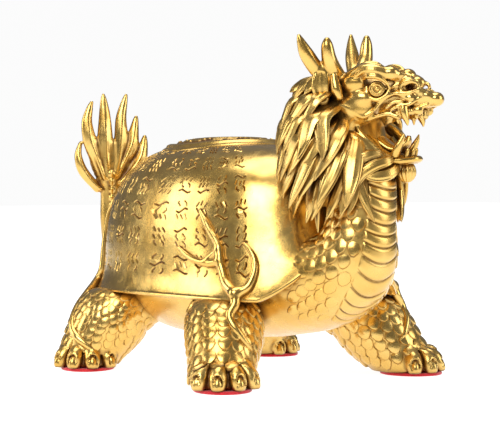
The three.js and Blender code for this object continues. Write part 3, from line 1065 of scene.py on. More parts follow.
@dataclass
class Medallion:
    """The raised medallion on the shell's back, with a ring of bars round an interlocked swirl."""

    shell: Shell
    middle: tuple[float, float] = (0.0, 15.5)
    half_width: float = 28.5
    half_length: float = 37.0
    swell: float = 2.3
    relief: float = 0.85
    around: int = 288
    rings: int = 60

    def raised(self, share: np.ndarray, turn: np.ndarray) -> np.ndarray:
        """Find the relief at places given by their share of the radius and their angle."""

        def band(value: np.ndarray, low: float, high: float, soft: float) -> np.ndarray:
            return ramp(value, low - soft, low + soft) * ramp(value, high + soft, high - soft)

        rims = band(share, 0.86, 0.93, 0.012) + band(share, 0.345, 0.385, 0.01)
        eighth = np.pi / 4
        group = np.round(turn / eighth)
        off = (turn - group * eighth) * share
        across = share * np.cos(turn - group * eighth)
        bars = np.zeros_like(share)
        for line, place in enumerate((0.49, 0.60, 0.71)):
            broken = ((group.astype(int) % 8) >> line) & 1
            gap = np.where(broken == 1, ramp(np.abs(off), 0.018, 0.034), 1.0)
            reach = ramp(np.abs(off), 0.195, 0.18)
            bars += band(across, place - 0.028, place + 0.028, 0.01) * reach * gap
        x, y = share * np.cos(turn), share * np.sin(turn)
        eye = np.minimum(np.hypot(x, y - 0.15), np.hypot(x, y + 0.15))
        upper = np.hypot(x, y - 0.15) < 0.15
        lower = np.hypot(x, y + 0.15) < 0.15
        swirl = np.where(upper, 1.0, np.where(lower, 0.0, (x > 0).astype(float)))
        swirl = np.where(eye < 0.045, 1 - swirl, swirl)
        return rims + bars + 0.6 * swirl * (share < 0.3)

    def form(self) -> tuple[Form, np.ndarray]:
        """Build the closed domed disc and how hollow each of its points is."""
        share = np.concatenate([np.linspace(0.004, 0.97, self.rings), [0.985, 0.995, 1.0]])
        turn = np.linspace(0, 2 * np.pi, self.around, endpoint=False)
        share_grid, turn_grid = np.meshgrid(share, turn, indexing="ij")
        relief = self.raised(share_grid, turn_grid)
        x = self.middle[0] + self.half_width * share_grid * np.cos(turn_grid)
        y = self.middle[1] + self.half_length * share_grid * np.sin(turn_grid)
        base = self.shell.height_at(x, y)
        dome = self.swell * np.sqrt(np.maximum(0, 1 - share_grid**2.6))
        rings = np.stack([x, y, base + dome + self.relief * relief], -1)
        under = rings[-1:] - [0, 0, 2.5]
        form = lofted(np.concatenate([rings, under]))
        hollow = np.concatenate([0.75 * (1 - np.clip(relief, 0, 1)).ravel(), np.zeros(self.around + 2)])
        ground = np.concatenate([(share_grid < 0.86).ravel(), np.zeros(self.around + 2, bool)])
        return form, np.where(ground, hollow, 0)

    def build(self, shop: Workshop) -> None:
        """Make the medallion's piece."""
        form, hollow = self.form()
        shop.piece("medallion", form, shop.carved, crisp=math.radians(48), cavity=hollow)


@dataclass
class Trunk:
    """The smooth trunk under the shell and the neck that rises from the chest."""

    cell: float = 1.3
    neck_stations: tuple[Station, ...] = (
        (0, -32, 40, 37, 18),
        (0, -58, 45, 30, 21),
        (1, -79, 56, 20.5, 19),
        (1.5, -84.5, 72, 15.5, 15.5),
        (3, -83, 90, 15, 15.5),
        (5, -75, 112, 14, 16),
    )
    neck_up: tuple[float, float, float] = (0, 1, 0.2)
    skin: Field = field(init=False)

    def __post_init__(self) -> None:
        """Melt the trunk and the neck together."""
        self.skin = Field((-56, -110, 10), (56, 92, 132), self.cell)
        self.skin.add(Ball((0, 9, 43), (47, 75, 27)))
        self.skin.add(Limb(self.neck_stations, self.neck_up, 6), 8.0)

    def middle(self, share: np.ndarray) -> np.ndarray:
        """Find the neck's middle at shares of its length, 0 in the chest and 1 in the skull."""
        path = smooth_path([s[:3] for s in self.neck_stations], 16)
        at = np.linspace(0, 1, len(path))
        return np.stack([np.interp(share, at, path[:, k]) for k in range(3)], -1)

    def build(self, shop: Workshop) -> None:
        """Make the trunk's piece."""
        shop.piece("trunk_and_neck", self.skin.surface(2), shop.satin, reach=0.3)


@dataclass
class Paw:
    """A clawed foot: a domed sole and rounded toes with sunk nails."""

    toes: int = 4
    fan: float = math.radians(34)
    sole_radii: tuple[float, float, float] = (14.0, 15.0, 9.5)

    def sculpt(self, skin: Field, place: Sequence[float], heading: float) -> None:
        """Melt the foot onto a field.

        Args:
            skin: The field that is added to.
            place: The sole's middle on the ground.
            heading: The way the foot points, round from straight ahead.
        """
        x, y = place
        skin.add(Ball((x, y, 6), self.sole_radii, yaw=heading), 3.0)
        ways = [heading + self.fan * (i - (self.toes - 1) / 2) for i in range(self.toes)]
        for way in ways:

            def out(reach: float, height: float, *sizes: float, way: float = way) -> list[float]:
                return [x + reach * math.sin(way), y - reach * math.cos(way), height, *sizes]

            toe = [out(7, 8.6, 4.3, 4.6), out(11.5, 8.0, 4.3, 4.9), out(14.8, 5.6, 4.0, 4.2), out(16.0, 3.2, 3.3, 2.8)]
            skin.add(Limb(toe), 0.7)
        for way in ways:

            def out(reach: float, height: float, *sizes: float, way: float = way) -> list[float]:
                return [x + reach * math.sin(way), y - reach * math.cos(way), height, *sizes]

            bed = out(17.6, 5.2)
            skin.cut(Ball(bed, (2.3, 2.4, 3.4), yaw=way, pitch=-0.35), 0.5)
            nail = [out(15.4, 7.0, 1.2, 1.0), out(17.0, 5.4, 1.7, 1.5), out(17.9, 3.2, 1.5, 1.3), out(18.0, 1.9, 0.9, 0.8)]
            skin.add(Limb(nail), 0.25)
        for first, second in zip(ways, ways[1:]):
            way = (first + second) / 2
            groove = [
                (x + r * math.sin(way), y - r * math.cos(way), z, 0.7)
                for r, z in ((8.5, 13.6), (12.5, 10.5), (14.6, 6.5), (14.8, 2.0))
            ]
            skin.cut(Limb(groove), 0.8)


@dataclass
class Leg:
    """One pair of legs: the stations of the right one's thigh, its paw and its scales' range."""

    name: str
    stations: tuple[Station, ...]
    sole: tuple[float, float]
    heading: float
    box: tuple[tuple[float, float, float], tuple[float, float, float]]
    paw: Paw
    cell: float = 0.75
    top: float = 40.0
    skin: Field = field(init=False)

    def __post_init__(self) -> None:
        """Melt the right leg together, which is mirrored for the left one."""
        self.skin = Field(*self.box, self.cell)
        stations = [(-x, *rest) for x, *rest in self.stations]
        self.skin.add(Limb(stations, (0, 1, 0), 6))
        self.skin.cut(Above(self.top), 5.0)
        self.paw.sculpt(self.skin, (-self.sole[0], self.sole[1]), -self.heading)
        self.skin.cut(Below(1.45))

    def build(self, shop: Workshop) -> None:
        """Make the pieces of both legs of the pair."""
        form = self.skin.surface(1)
        shop.piece(f"{self.name}_right_leg", form, shop.carved)
        shop.piece(f"{self.name}_left_leg", form.mirrored(), shop.carved)


@dataclass
class Vines:
    """The smooth tendrils that climb each side of the statue."""

    shell: Shell
    cell: float = 0.6

    def lying(self, turn: float, rise: float, thick: float, proud: float = 0.9) -> list[float]:
        """Make a station that lies on the right flank and stands out by proud."""
        point = self.shell.point(-math.radians(turn), rise)
        out = self.shell.normal(np.array([-math.radians(turn)]), np.array([rise]))[0]
        return [*(point + out * proud), thick, thick]

    def front(self) -> Field:
        """Melt together the tendril that climbs a front leg and forks on the flank."""
        skin = Field((-74, -72, 12), (-28, -8, 92), self.cell)
        fork, knot = self.lying(48.5, 0.012, 2.5, 1.4), self.lying(56, 0.225, 2.2)
        strands = [
            [(-44.3, -64.2, 17.6, 0.7), (-46.8, -64.0, 20.5, 1.5), (-50.4, -61.6, 26.4, 1.9),
             (-51.4, -58.3, 30.8, 2.0), (-50.8, -57.0, 34.0, 2.1), (-48.2, -57.0, 37.8, 2.3), fork],
            [fork, self.lying(53, 0.075, 2.3), self.lying(54.7, 0.15, 2.1), knot,
             self.lying(56.3, 0.305, 2.0), self.lying(58, 0.36, 1.8), self.lying(60.4, 0.41, 1.6),
             self.lying(63, 0.475, 1.4), self.lying(66, 0.54, 0.7)],
            [knot, self.lying(58.5, 0.21, 1.8), self.lying(62, 0.203, 1.7), self.lying(66.5, 0.213, 1.5),
             self.lying(71.5, 0.243, 1.3), self.lying(76.5, 0.305, 0.7)],
            [self.lying(56.5, 0.30, 1.7), self.lying(59, 0.265, 1.5), self.lying(61.5, 0.24, 1.4), self.lying(64, 0.215, 1.3)],
            [fork, self.lying(43, 0.05, 2.2), self.lying(39.8, 0.095, 2.0), self.lying(38, 0.15, 1.8),
             self.lying(38.2, 0.205, 1.6), self.lying(40, 0.26, 1.3), self.lying(43.5, 0.32, 0.7)],
        ]
        for strand in strands:
            rows = [list(s) if len(s) == 5 else [*s, s[3]] for s in strand]
            skin.add(Limb(rows, (0.3, 0.5, 0.1), 5), 1.4)
        return skin

    def hind(self) -> Field:
        """Melt together the tendril that comes down the rear corner and round the hind leg."""
        skin = Field((-72, 34, 4), (-24, 100, 92), self.cell)
        stations = [
            self.lying(143, 0.60, 0.7), self.lying(141, 0.5, 1.2), self.lying(140.5, 0.36, 1.5),
            self.lying(139.5, 0.22, 1.8), self.lying(138.5, 0.1, 2.0), self.lying(138, 0.01, 2.2, 1.6),
            (-52.5, 60.5, 36.5, 2.1, 2.1), (-58.5, 58.8, 31, 2.0, 2.0), (-63.0, 56.5, 25, 2.0, 2.0),
            (-65.6, 52.6, 19.8, 2.0, 2.0), (-65.4, 47.6, 15.8, 2.0, 2.0), (-62.4, 43.6, 12.2, 1.9, 1.9),
            (-59.4, 41.6, 9.8, 1.6, 1.6), (-55.4, 40.3, 8.6, 0.8, 0.8),
        ]
        skin.add(Limb(stations, (0.3, 0.5, 0.1), 5))
        return skin

    def build(self, shop: Workshop) -> None:
        """Make the four tendrils' pieces."""
        for name, skin in (("front", self.front()), ("hind", self.hind())):
            form = skin.surface(1)
            shop.piece(f"{name}_right_vine", form, shop.polished, reach=0.3)
            shop.piece(f"{name}_left_vine", form.mirrored(), shop.polished, reach=0.3)


@dataclass
class Tail:
    """The tail: a root behind the shell that spreads into a flame of pointed tongues."""

    root: tuple[float, float, float] = (-9.0, 109.6, 87.0)
    heading: float = math.radians(-25)
    cell: float = 0.7
    tongues: tuple[tuple[float, ...], ...] = (
        # Tip across, tip height, half width, start height, bend at mid-height.
        (-14.8, 27.5, 2.3, 2, -2.0),
        (-9.0, 49.0, 3.3, 12, -3.0),
        (-2.8, 53.0, 3.7, 12, 0.6),
        (9.5, 53.0, 3.3, 12, -2.6),
        (15.0, 41.5, 3.0, 14, -1.0),
        (19.6, 31.0, 3.0, 8, -0.5),
    )

    def in_fan(self, across: float, rise: float, wide: float, deep: float, out: float = 0.0) -> list[float]:
        """Make a station in the flame's own plane, which may stand out of it towards the shell."""
        c, s = math.cos(self.heading), math.sin(self.heading)
        x, y, z = self.root
        return [x + across * c + out * s, y + across * s - out * c, z + rise, wide, deep]

    def form(self) -> Form:
        """Melt the tail together.

        Returns:
            The closed form.
        """
        square = (-math.sin(self.heading), math.cos(self.heading), 0)
        skin = Field((-34, 57, 29), (20, 124, 144), self.cell)
        stem = [
            (0, 70, 44, 8, 8), (-2, 94, 45, 7.5, 7), (-6, 106, 56, 6.5, 6), (-8, 109, 72, 5.6, 5),
            self.in_fan(1.5, 2, 6.2, 4.4), self.in_fan(1.5, 15, 11.5, 4.4), self.in_fan(2, 25, 12.5, 3.0),
        ]
        skin.add(Limb(stem, square, 5))
        for tip, height, wide, start, bend in self.tongues:
            reach = height - start
            blade = [
                self.in_fan(tip * 0.42, start, wide, 2.4, 1.0),
                self.in_fan(tip * 0.85 + bend * 0.6, start + reach * 0.35, wide * 1.15, 2.7, 1.4),
                self.in_fan(tip * 0.97 + bend, start + reach * 0.66, wide * 0.9, 2.2, 0.8),
                self.in_fan(tip + bend * 0.4, start + reach * 0.88, wide * 0.55, 1.5, 0.2),
                self.in_fan(tip, height - 0.9, 0.9, 0.8),
            ]
            skin.add(Limb(blade, square, 5), 1.2)
            ridge = [
                self.in_fan(tip * 0.3, start * 0.6, 0.9, 0.9, 4.2),
                self.in_fan(tip * 0.62 + bend * 0.3, start + reach * 0.15, 1.0, 1.0, 4.0),
                self.in_fan(tip * 0.88 + bend * 0.8, start + reach * 0.45, 0.9, 0.9, 3.6),
                self.in_fan(tip + bend * 0.7, start + reach * 0.8, 0.5, 0.5, 1.6),
            ]
            for facing in (1, -1):
                rows = [self.mirror_out(row, facing) for row in ridge]
                skin.add(Limb(rows, square, 4), 0.9)
        for bead in range(9):
            place = self.in_fan(1.2, -24 + 4.2 * bead, 0, 0, 4.7)[:3]
            skin.add(Ball(place, (1.5, 1.3, 1.9)), 0.8)
        return skin.surface(1)

    def mirror_out(self, row: list[float], facing: int) -> list[float]:
        """Move a station of the flame to its other face where facing is -1."""
        out = np.array([math.sin(self.heading), -math.cos(self.heading)])
        place = np.array(row[:2]) - self.root[:2]
        moved = place if facing > 0 else place - 2 * (place @ out) * out
        return [*(moved + self.root[:2]), *row[2:]]

    def build(self, shop: Workshop) -> None:
        """Make the tail's piece."""
        shop.piece("tail", self.form(), shop.carved)


@dataclass
class Head:
    """The dragon's head. It is sculpted in its own frame: forward, up and out from its middle plane."""

    place: tuple[float, float, float] = (5.0, -80.0, 128.0)
    yaw: float = math.radians(23)
    cell: float = 0.52
    far_lift: float = 4.0
    # Rows of a paired feature: forward, up, out, half width and, where it differs, half depth.
    cheeks: tuple[tuple[float, ...], ...] = (
        (2.0, -4.0, 10.5, 6.5, 11.0, 8.0),
        (2.9, 7.6, 12.6, 4.2, 6.0, 4.8),
        (6.5, 0.6, 12.4, 4.2, 6.4, 4.4),
        (-1.4, -9.8, 11.0, 4.8, 6.8, 6.0),
        (19.6, 11.6, 9.0, 3.8, 3.6, 3.2),
        (25.7, 7.6, 5.2, 3.4, 3.8, 3.4),
        (21.5, 6.4, 7.2, 1.7, 1.8, 1.6),
        (23.6, 2.6, 7.9, 1.9, 2.6, 1.6),
        (27.6, 0.6, 7.4, 1.6, 2.2, 1.5),
        (31.5, 3.4, 4.6, 2.0, 2.4, 2.0),
        (34.6, 1.6, 3.6, 1.8, 1.8, 1.7),
        (24.8, -5.4, 7.6, 2.2, 3.4, 2.6),
        (30.5, -4.8, 5.4, 2.2, 2.8, 2.2),
    )
    brow: tuple[Station, ...] = (
        (-2.0, 9.0, 11.0, 1.6), (3.0, 11.4, 12.4, 2.8), (8.0, 12.9, 13.0, 3.2),
        (13.0, 12.6, 12.9, 3.2), (17.0, 11.6, 11.0, 2.9), (21.0, 10.6, 8.4, 2.3), (24.5, 10.6, 6.4, 1.0),
    )
    brow_rims: tuple[tuple[Station, ...], ...] = (
        ((0.5, 11.2, 12.8, 0.6), (4.0, 14.2, 12.6, 0.9), (9.0, 16.2, 12.2, 1.0),
         (13.5, 16.0, 11.8, 1.0), (16.8, 14.2, 10.9, 0.7)),
        ((2.2, 9.4, 14.8, 0.5), (5.4, 10.2, 15.8, 0.8), (9.4, 12.6, 16.1, 0.8),
         (13.8, 13.0, 15.4, 0.8), (16.8, 12.0, 13.8, 0.5)),
        ((4.4, 12.4, 14.8, 0.5), (7.4, 13.8, 15.4, 0.7), (10.8, 14.6, 15.2, 0.5)),
        ((8.6, 9.2, 14.4, 0.8), (12.0, 10.1, 15.6, 1.1), (16.0, 9.6, 14.4, 1.1),
         (18.6, 7.4, 12.2, 0.8), (19.6, 5.2, 10.6, 0.5)),
        ((18.0, 9.0, 10.6, 0.7), (21.6, 11.2, 8.8, 0.9), (25.6, 10.6, 6.8, 0.9), (28.8, 8.6, 5.4, 0.6)),
    )
    lids: tuple[tuple[Station, ...], ...] = (
        ((9.8, 5.6, 13.4, 0.9), (11.0, 1.6, 13.8, 1.0), (14.6, -0.2, 13.4, 1.0), (18.2, 1.8, 11.6, 0.9), (19.6, 5.0, 10.4, 0.6)),
    )
    lip_ridge: tuple[Station, ...] = (
        (-14.0, -9.4, 13.4, 0.5), (-10.2, -7.6, 14.6, 0.9), (-6.6, -4.3, 15.2, 1.1), (-1.7, -2.3, 15.8, 1.2),
        (2.4, -3.7, 15.8, 1.2), (6.2, -6.4, 15.0, 1.2), (8.8, -7.3, 14.2, 1.2), (12.5, -5.5, 13.0, 1.2),
        (15.6, -1.6, 12.0, 1.2), (19.0, 1.7, 10.6, 1.1), (22.3, 3.0, 9.2, 0.7),
    )
    lip_groove: tuple[Station, ...] = (
        (11.0, -7.4, 13.4, 0.5), (14.0, -5.4, 12.5, 0.9), (17.2, -2.0, 11.2, 1.0), (20.6, 0.6, 9.8, 0.8), (23.4, 1.2, 8.6, 0.4),
    )
    lip_edges: tuple[tuple[Station, ...], ...] = (
        ((4.6, -9.6, 12.6, 1.0), (9.2, -8.8, 11.8, 1.1), (13.4, -7.2, 10.8, 1.1), (18.6, -6.2, 9.9, 1.2), (22.6, -7.6, 9.0, 1.3)),
        ((4.6, -9.6, 12.6, 1.0), (5.6, -13.4, 12.6, 1.2), (9.8, -17.8, 12.2, 1.2), (14.0, -22.0, 11.2, 1.2),
         (16.6, -25.4, 10.4, 1.3), (20.4, -26.8, 8.8, 1.4), (24.6, -26.6, 6.6, 1.4), (28.2, -26.0, 2.6, 1.4), (28.6, -25.9, -0.5, 1.4)),
        ((3.4, -12.6, 12.4, 0.5), (6.2, -17.2, 13.0, 0.7), (10.6, -21.6, 12.0, 0.7), (14.4, -26.2, 10.8, 0.6)),
    )
    jaw_bands: tuple[tuple[Station, ...], ...] = (
        ((-4.6, -14.6, 12.4, 1.4), (-0.6, -15.8, 13.2, 3.0), (5.4, -18.2, 12.8, 3.2), (10.6, -22.2, 11.8, 2.5), (14.8, -26.6, 10.6, 1.0)),
        ((-6.0, -15.8, 12.8, 1.0), (-2.6, -19.6, 13.4, 1.9), (3.2, -22.4, 12.8, 2.1), (9.4, -25.6, 11.6, 1.8), (14.8, -28.4, 10.0, 0.9)),
        ((-14.0, -9.0, 13.6, 0.6), (-11.0, -12.6, 14.2, 0.9), (-7.0, -14.4, 14.2, 1.0), (-3.6, -14.0, 13.8, 0.8)),
    )
    frill: tuple[Station, ...] = (
        (-9.6, -13.6, 13.0, 2.4), (-4.0, -18.6, 12.6, 3.0), (3.4, -23.8, 11.4, 2.8), (10.0, -27.0, 9.8, 2.2), (15.0, -28.6, 8.6, 1.4),
    )
    spikes: tuple[tuple[Station, ...], ...] = (
        ((-6.5, -16.0, 13.0, 2.6, 1.3), (-9.6, -18.6, 14.0, 1.5, 0.9), (-12.6, -20.8, 15.0, 0.3, 0.3)),
        ((-2.0, -19.0, 12.8, 2.8, 1.3), (-3.2, -22.0, 13.8, 1.7, 0.9), (-5.4, -24.6, 15.0, 0.3, 0.3)),
        ((2.4, -23.0, 12.2, 2.5, 1.2), (1.4, -26.0, 12.8, 1.5, 0.9), (-0.8, -29.0, 13.6, 0.3, 0.3)),
        ((7.8, -26.0, 10.8, 2.3, 1.2), (7.2, -28.6, 11.4, 1.3, 0.8), (5.4, -31.2, 12.0, 0.3, 0.3)),
    )
    nostril_rims: tuple[tuple[Station, ...], ...] = (
        ((24.4, 3.4, 8.6, 0.6), (24.0, 6.2, 8.4, 0.9), (27.0, 8.2, 7.6, 1.0), (30.6, 7.2, 6.2, 0.9), (31.6, 5.0, 6.0, 0.6)),
        ((24.6, 2.8, 8.8, 0.7), (28.0, 3.0, 8.2, 0.8), (31.4, 4.4, 6.4, 0.6)),
    )
    folds: tuple[tuple[Station, ...], ...] = (
        ((18.0, -3.6, 11.0, 0.7), (21.0, -1.2, 9.8, 0.9), (24.8, -0.8, 8.8, 0.7)),
        ((20.2, -4.4, 10.2, 0.7), (23.4, -2.8, 9.2, 0.9), (27.4, -2.2, 8.0, 0.9), (30.6, -0.4, 6.6, 0.7), (33.0, 1.2, 5.0, 0.5)),
        ((28.6, -6.2, 6.6, 0.7), (32.0, -3.6, 5.6, 0.9), (35.0, -2.4, 4.4, 0.8)),
        ((16.4, 4.8, 11.4, 0.5), (19.6, 5.2, 9.4, 0.8), (22.6, 7.4, 7.2, 0.6)),
    )
    antlers: tuple[tuple[Station, ...], ...] = (
        ((-5.0, 7.0, 8.0, 4.4), (-6.0, 13.5, 14.6, 3.9), (-6.2, 18.5, 18.4, 3.3), (-6.4, 23.6, 19.8, 2.7), (-6.4, 26.2, 20.0, 1.6)),
        ((-8.0, 7.0, 12.0, 3.4), (-12.0, 13.5, 18.5, 3.4), (-15.0, 20.0, 22.5, 3.3), (-16.6, 25.0, 24.6, 2.1), (-17.4, 28.4, 25.8, 0.9)),
    )
    ear: tuple[Station, ...] = (
        (-9.0, -3.4, 17.6, 1.5, 1.3), (-9.2, 0.6, 19.2, 3.2, 1.8), (-9.6, 6.0, 20.2, 4.0, 1.9),
        (-9.4, 11.6, 19.8, 3.4, 1.7), (-9.0, 16.2, 18.4, 1.0, 0.9),
    )
    ear_lobe: tuple[Station, ...] = (
        (-5.2, 14.6, 16.0, 1.1), (-4.4, 10.0, 17.0, 1.8), (-3.0, 5.0, 17.6, 2.4), (-1.8, 1.6, 17.2, 1.7),
    )
    eye_middle: tuple[float, float, float] = (14.0, 4.7, 11.9)
    eye_facing: tuple[float, float, float] = (0.5, 0.0, 0.86)
    eye_rings: tuple[tuple[float, float], ...] = (
        # Radius and how far it stands out.
        (0.05, 3.3), (0.5, 3.25), (0.95, 2.95), (1.15, 2.45), (1.45, 2.25), (1.7, 2.6), (2.1, 2.65),
        (2.4, 2.2), (2.65, 1.8), (2.9, 1.95), (3.3, 1.75), (3.6, 1.1), (3.75, 0.0), (3.6, -1.4),
    )
    teeth: tuple[tuple[Station, ...], ...] = (
        ((25.4, -3.4, 7.6, 3.3, 2.1), (26.0, -6.4, 8.4, 2.7, 1.9), (26.9, -9.2, 8.6, 1.4, 1.2), (27.4, -11.4, 8.4, 0.3, 0.3)),
        ((22.6, -5.4, 8.4, 1.7, 1.4), (22.6, -8.8, 8.6, 0.9, 0.8), (22.8, -10.6, 8.4, 0.25, 0.25)),
        ((29.4, -4.4, 4.8, 1.3, 1.1), (29.9, -7.4, 4.9, 1.1, 0.9), (30.1, -8.4, 4.9, 0.5, 0.4)),
        ((30.8, -4.4, 2.6, 1.3, 1.1), (31.3, -7.2, 2.6, 1.1, 0.9), (31.5, -8.2, 2.6, 0.5, 0.4)),
        ((31.2, -4.4, 0.3, 1.2, 1.1), (31.7, -7.0, 0.5, 1.0, 0.9), (31.9, -8.0, 0.5, 0.5, 0.4)),
        ((20.8, -24.6, 7.4, 2.7, 2.1), (22.4, -21.2, 8.2, 2.3, 1.8), (24.2, -17.8, 8.2, 1.3, 1.2), (25.4, -14.9, 7.9, 0.3, 0.3)),
        ((24.8, -25.4, 4.6, 1.2, 1.0), (25.6, -22.4, 4.7, 0.9, 0.8), (26.0, -21.2, 4.7, 0.4, 0.4)),
        ((26.2, -25.4, 1.5, 1.2, 1.0), (27.0, -22.4, 1.6, 0.9, 0.8), (27.4, -21.2, 1.6, 0.4, 0.4)),
    )
    tongue: tuple[tuple[float, ...], ...] = (
        (4.0, -14.5, 0.0, 6.2, 2.6), (10.0, -17.5, 0.0, 6.0, 2.6), (16.0, -21.2, 0.0, 5.4, 2.2),
        (20.6, -21.4, 0.0, 4.6, 1.8), (23.4, -18.6, 0.0, 3.4, 1.4), (24.2, -15.6, 0.0, 1.2, 0.8),
    )
    skin: Field = field(init=False)

    def __post_init__(self) -> None:
        """Melt the head together."""
        self.skin = Field((-32, -43, -36), (32, 25, 37), self.cell)
        self.sculpt_core()
        for side in Side:
            self.sculpt_side(side)
        self.sculpt_fine()

    def local(self, rows: Sequence[Station], side: Side, lift: float = 0.0) -> list[list[float]]:
        """Turn rows of forward, up, out and sizes into stations on one side.

        Args:
            rows: The rows.
            side: The side of the head.
            lift: How much higher the last row is on the left, which shrinks to nothing at the first.

        Returns:
            The stations.
        """
        steps = np.linspace(0, lift, len(rows)) if side is Side.LEFT else np.zeros(len(rows))
        return [[side.value * out, -ahead, up + step, *sizes] for (ahead, up, out, *sizes), step in zip(rows, steps)]

    def sculpt_core(self) -> None:
        """Shape the skull, the snout, the jaw and the open mouth."""
        skin = self.skin
        skin.add(Ball((0, 2, 1), (14.2, 19, 13)))
        skin.add(Ball((0, 9, -8), (14, 13, 14)), 5.0)
        snout = [(0, -8, 3, 12, 8.4), (0, -20, 1.6, 9.2, 6.4), (0, -29, 0.6, 7.2, 5.0), (0, -35, 0.2, 4.6, 3.4)]
        skin.add(Limb(snout), 3.0)
        jaw = [(0, 2, -13, 12.2, 8), (0, -7, -20.5, 11.4, 7), (0, -15, -25, 9.6, 4.4), (0, -23.5, -26.4, 7.2, 2.9)]
        skin.add(Limb(jaw), 3.0)
        skin.cut(Ball((0, -15.5, -12.6), (9.4, 15, 6.8), pitch=0.25), 1.4)
        skin.cut(Ball((0, -24, -13.5), (11, 12, 6.0), pitch=0.1), 1.0)
        skin.cut(Ball((0, -17, -20.5), (7.2, 9, 3.4), pitch=0.3), 1.0)

    def sculpt_side(self, side: Side) -> None:
        """Add one side's larger forms."""
        skin = self.skin
        for ahead, up, out, *radii in self.cheeks:
            skin.add(Ball((side.value * out, -ahead, up), radii), 1.6)
        skin.add(Limb(self.local(self.brow, side, 0.0)), 1.2)
        for rows in self.jaw_bands[:2]:
            skin.add(Limb(self.local(rows, side)), 0.7)
        skin.add(Limb(self.local(self.frill, side), (side.value, 0, 0.3)), 1.0)
        for rows in self.spikes:
            skin.add(Limb(self.local(rows, side), (side.value, 0, 0.3)), 0.8)
        for rows in self.antlers:
            skin.add(Limb(self.local(rows, side, self.far_lift), (0, 1, 0), 5), 1.6)
        self.sculpt_ear(side)

    def sculpt_ear(self, side: Side) -> None:
        """Add a leaf of an ear with a dished face inside a rim, and the drop-shaped lobe before it."""
        skin = self.skin
        facing = np.array([side.value * 0.86, -0.5, 0.1])
        leaf = self.local(self.ear, side)
        skin.add(Limb(leaf, facing, 5), 0.6)
        dish = [[*(np.array(row[:3]) + facing * 1.9), max(row[3] - 1.0, 0.2), 1.25] for row in leaf[1:-1]]
        skin.cut(Limb(dish, facing, 5), 0.3)
        rib = [[*(np.array(row[:3]) + facing * 0.5), 0.55, 0.55] for row in leaf[1:-1]]
        skin.add(Limb(rib, facing, 5), 0.5)
        skin.add(Limb(self.local(self.ear_lobe, side)), 0.7)

    def sculpt_fine(self) -> None:
        """Add the sockets, the ridges round the eyes and lips, the nostrils and the nose."""
        skin = self.skin
        for side in Side:
            ahead, up, out = self.eye_middle
            skin.cut(Ball((side.value * (out + 2.2), -ahead - 0.6, up + 0.3), (3.6, 4.7, 4.7)), 0.8)
            ridges = [*self.brow_rims, *self.lids, self.lip_ridge, *self.lip_edges, self.jaw_bands[2]]
            for rows in (*ridges, *self.nostril_rims, *self.folds):
                skin.add(Limb(self.local(rows, side)), 0.5)
            skin.cut(Limb(self.local(self.lip_groove, side)), 0.5)
            hole = [(28.6, 5.6, 9.0, 1.5, 1.1), (27.6, 5.4, 6.6, 1.9, 1.2), (26.6, 5.0, 4.6, 1.0, 0.8)]
            skin.cut(Limb(self.local(hole, side), (0, 0, 1)), 0.4)
            eye = np.array([side.value * out, -ahead, up])
            skin.cut(Ball(eye, (2.4, 3.4, 3.4)), 0.3)
        skin.add(Ball((0, -37.4, 0.2), (3.9, 3.2, 3.2)), 0.8)
        skin.add(Ball((0, -33.5, 2.6), (3.0, 3.0, 2.6)), 0.8)
        skin.cut(Limb([(0, -28, 8.4, 0.6), (0, -32.5, 6.0, 0.7), (0, -35.6, 3.4, 0.6)]), 1.0)
        for bend in (-9.5, -13.0, -17.0, -21.0):
            fold = [(-4.6, bend + 1.4, 9.6, 0.7), (0, bend, 10.6, 1.0), (4.6, bend + 1.4, 9.6, 0.7)]
            skin.add(Limb(fold), 0.8)

    def eyeball(self, side: Side) -> Form:
        """Make an eye as a bulging disc with sunk rings."""
        ahead, up, out = self.eye_middle
        facing = unit(np.array([side.value * self.eye_facing[2], -self.eye_facing[0], self.eye_facing[1]]))
        across = unit(np.cross((0, 0, 1), facing))
        above = np.cross(facing, across)
        turn = np.linspace(0, 2 * np.pi, 40, endpoint=False)[:, None]
        middle = np.array([side.value * out, -ahead, up])
        rings = [middle + stand * facing + r * (np.cos(turn) * across + np.sin(turn) * above) for r, stand in self.eye_rings]
        return lofted(np.array(rings))

    def dental(self) -> Form:
        """Make the fangs and the front teeth of both sides, and the tongue."""
        forms = []
        for side in Side:
            for rows in self.teeth:
                path = smooth_path([[*r[:3], *r[3:]] for r in self.local(rows, side)], 6)
                forms.append(swept(path, (0, 1, 0.1), 18))
        path = smooth_path([[*r[:3], *r[3:]] for r in self.local(self.tongue, Side.LEFT)], 6)
        forms.append(swept(path, (0, 0, 1), 28))
        return Form.joined(forms)

    def build(self, shop: Workshop) -> None:
        """Make the head's pieces."""
        form = self.skin.surface(1).placed(self.yaw, self.place)
        shop.piece("head", form, shop.polished, reach=0.22)
        eyes = Form.joined([self.eyeball(side) for side in Side]).placed(self.yaw, self.place)
        shop.piece("eyes", eyes, shop.polished, reach=0.12)
        teeth = self.dental().placed(self.yaw, self.place)
        shop.piece("teeth_and_tongue", teeth, shop.polished, reach=0.3)


@dataclass(frozen=True)
class Tier:
    """One tier of the mane's locks, counted on each side of the head's middle plane."""

    start: float
    locks: int
    root: tuple[float, float]
    belly: tuple[float, float]
    tip: tuple[float, float]
    narrow: float
    width: float
    sweep: float


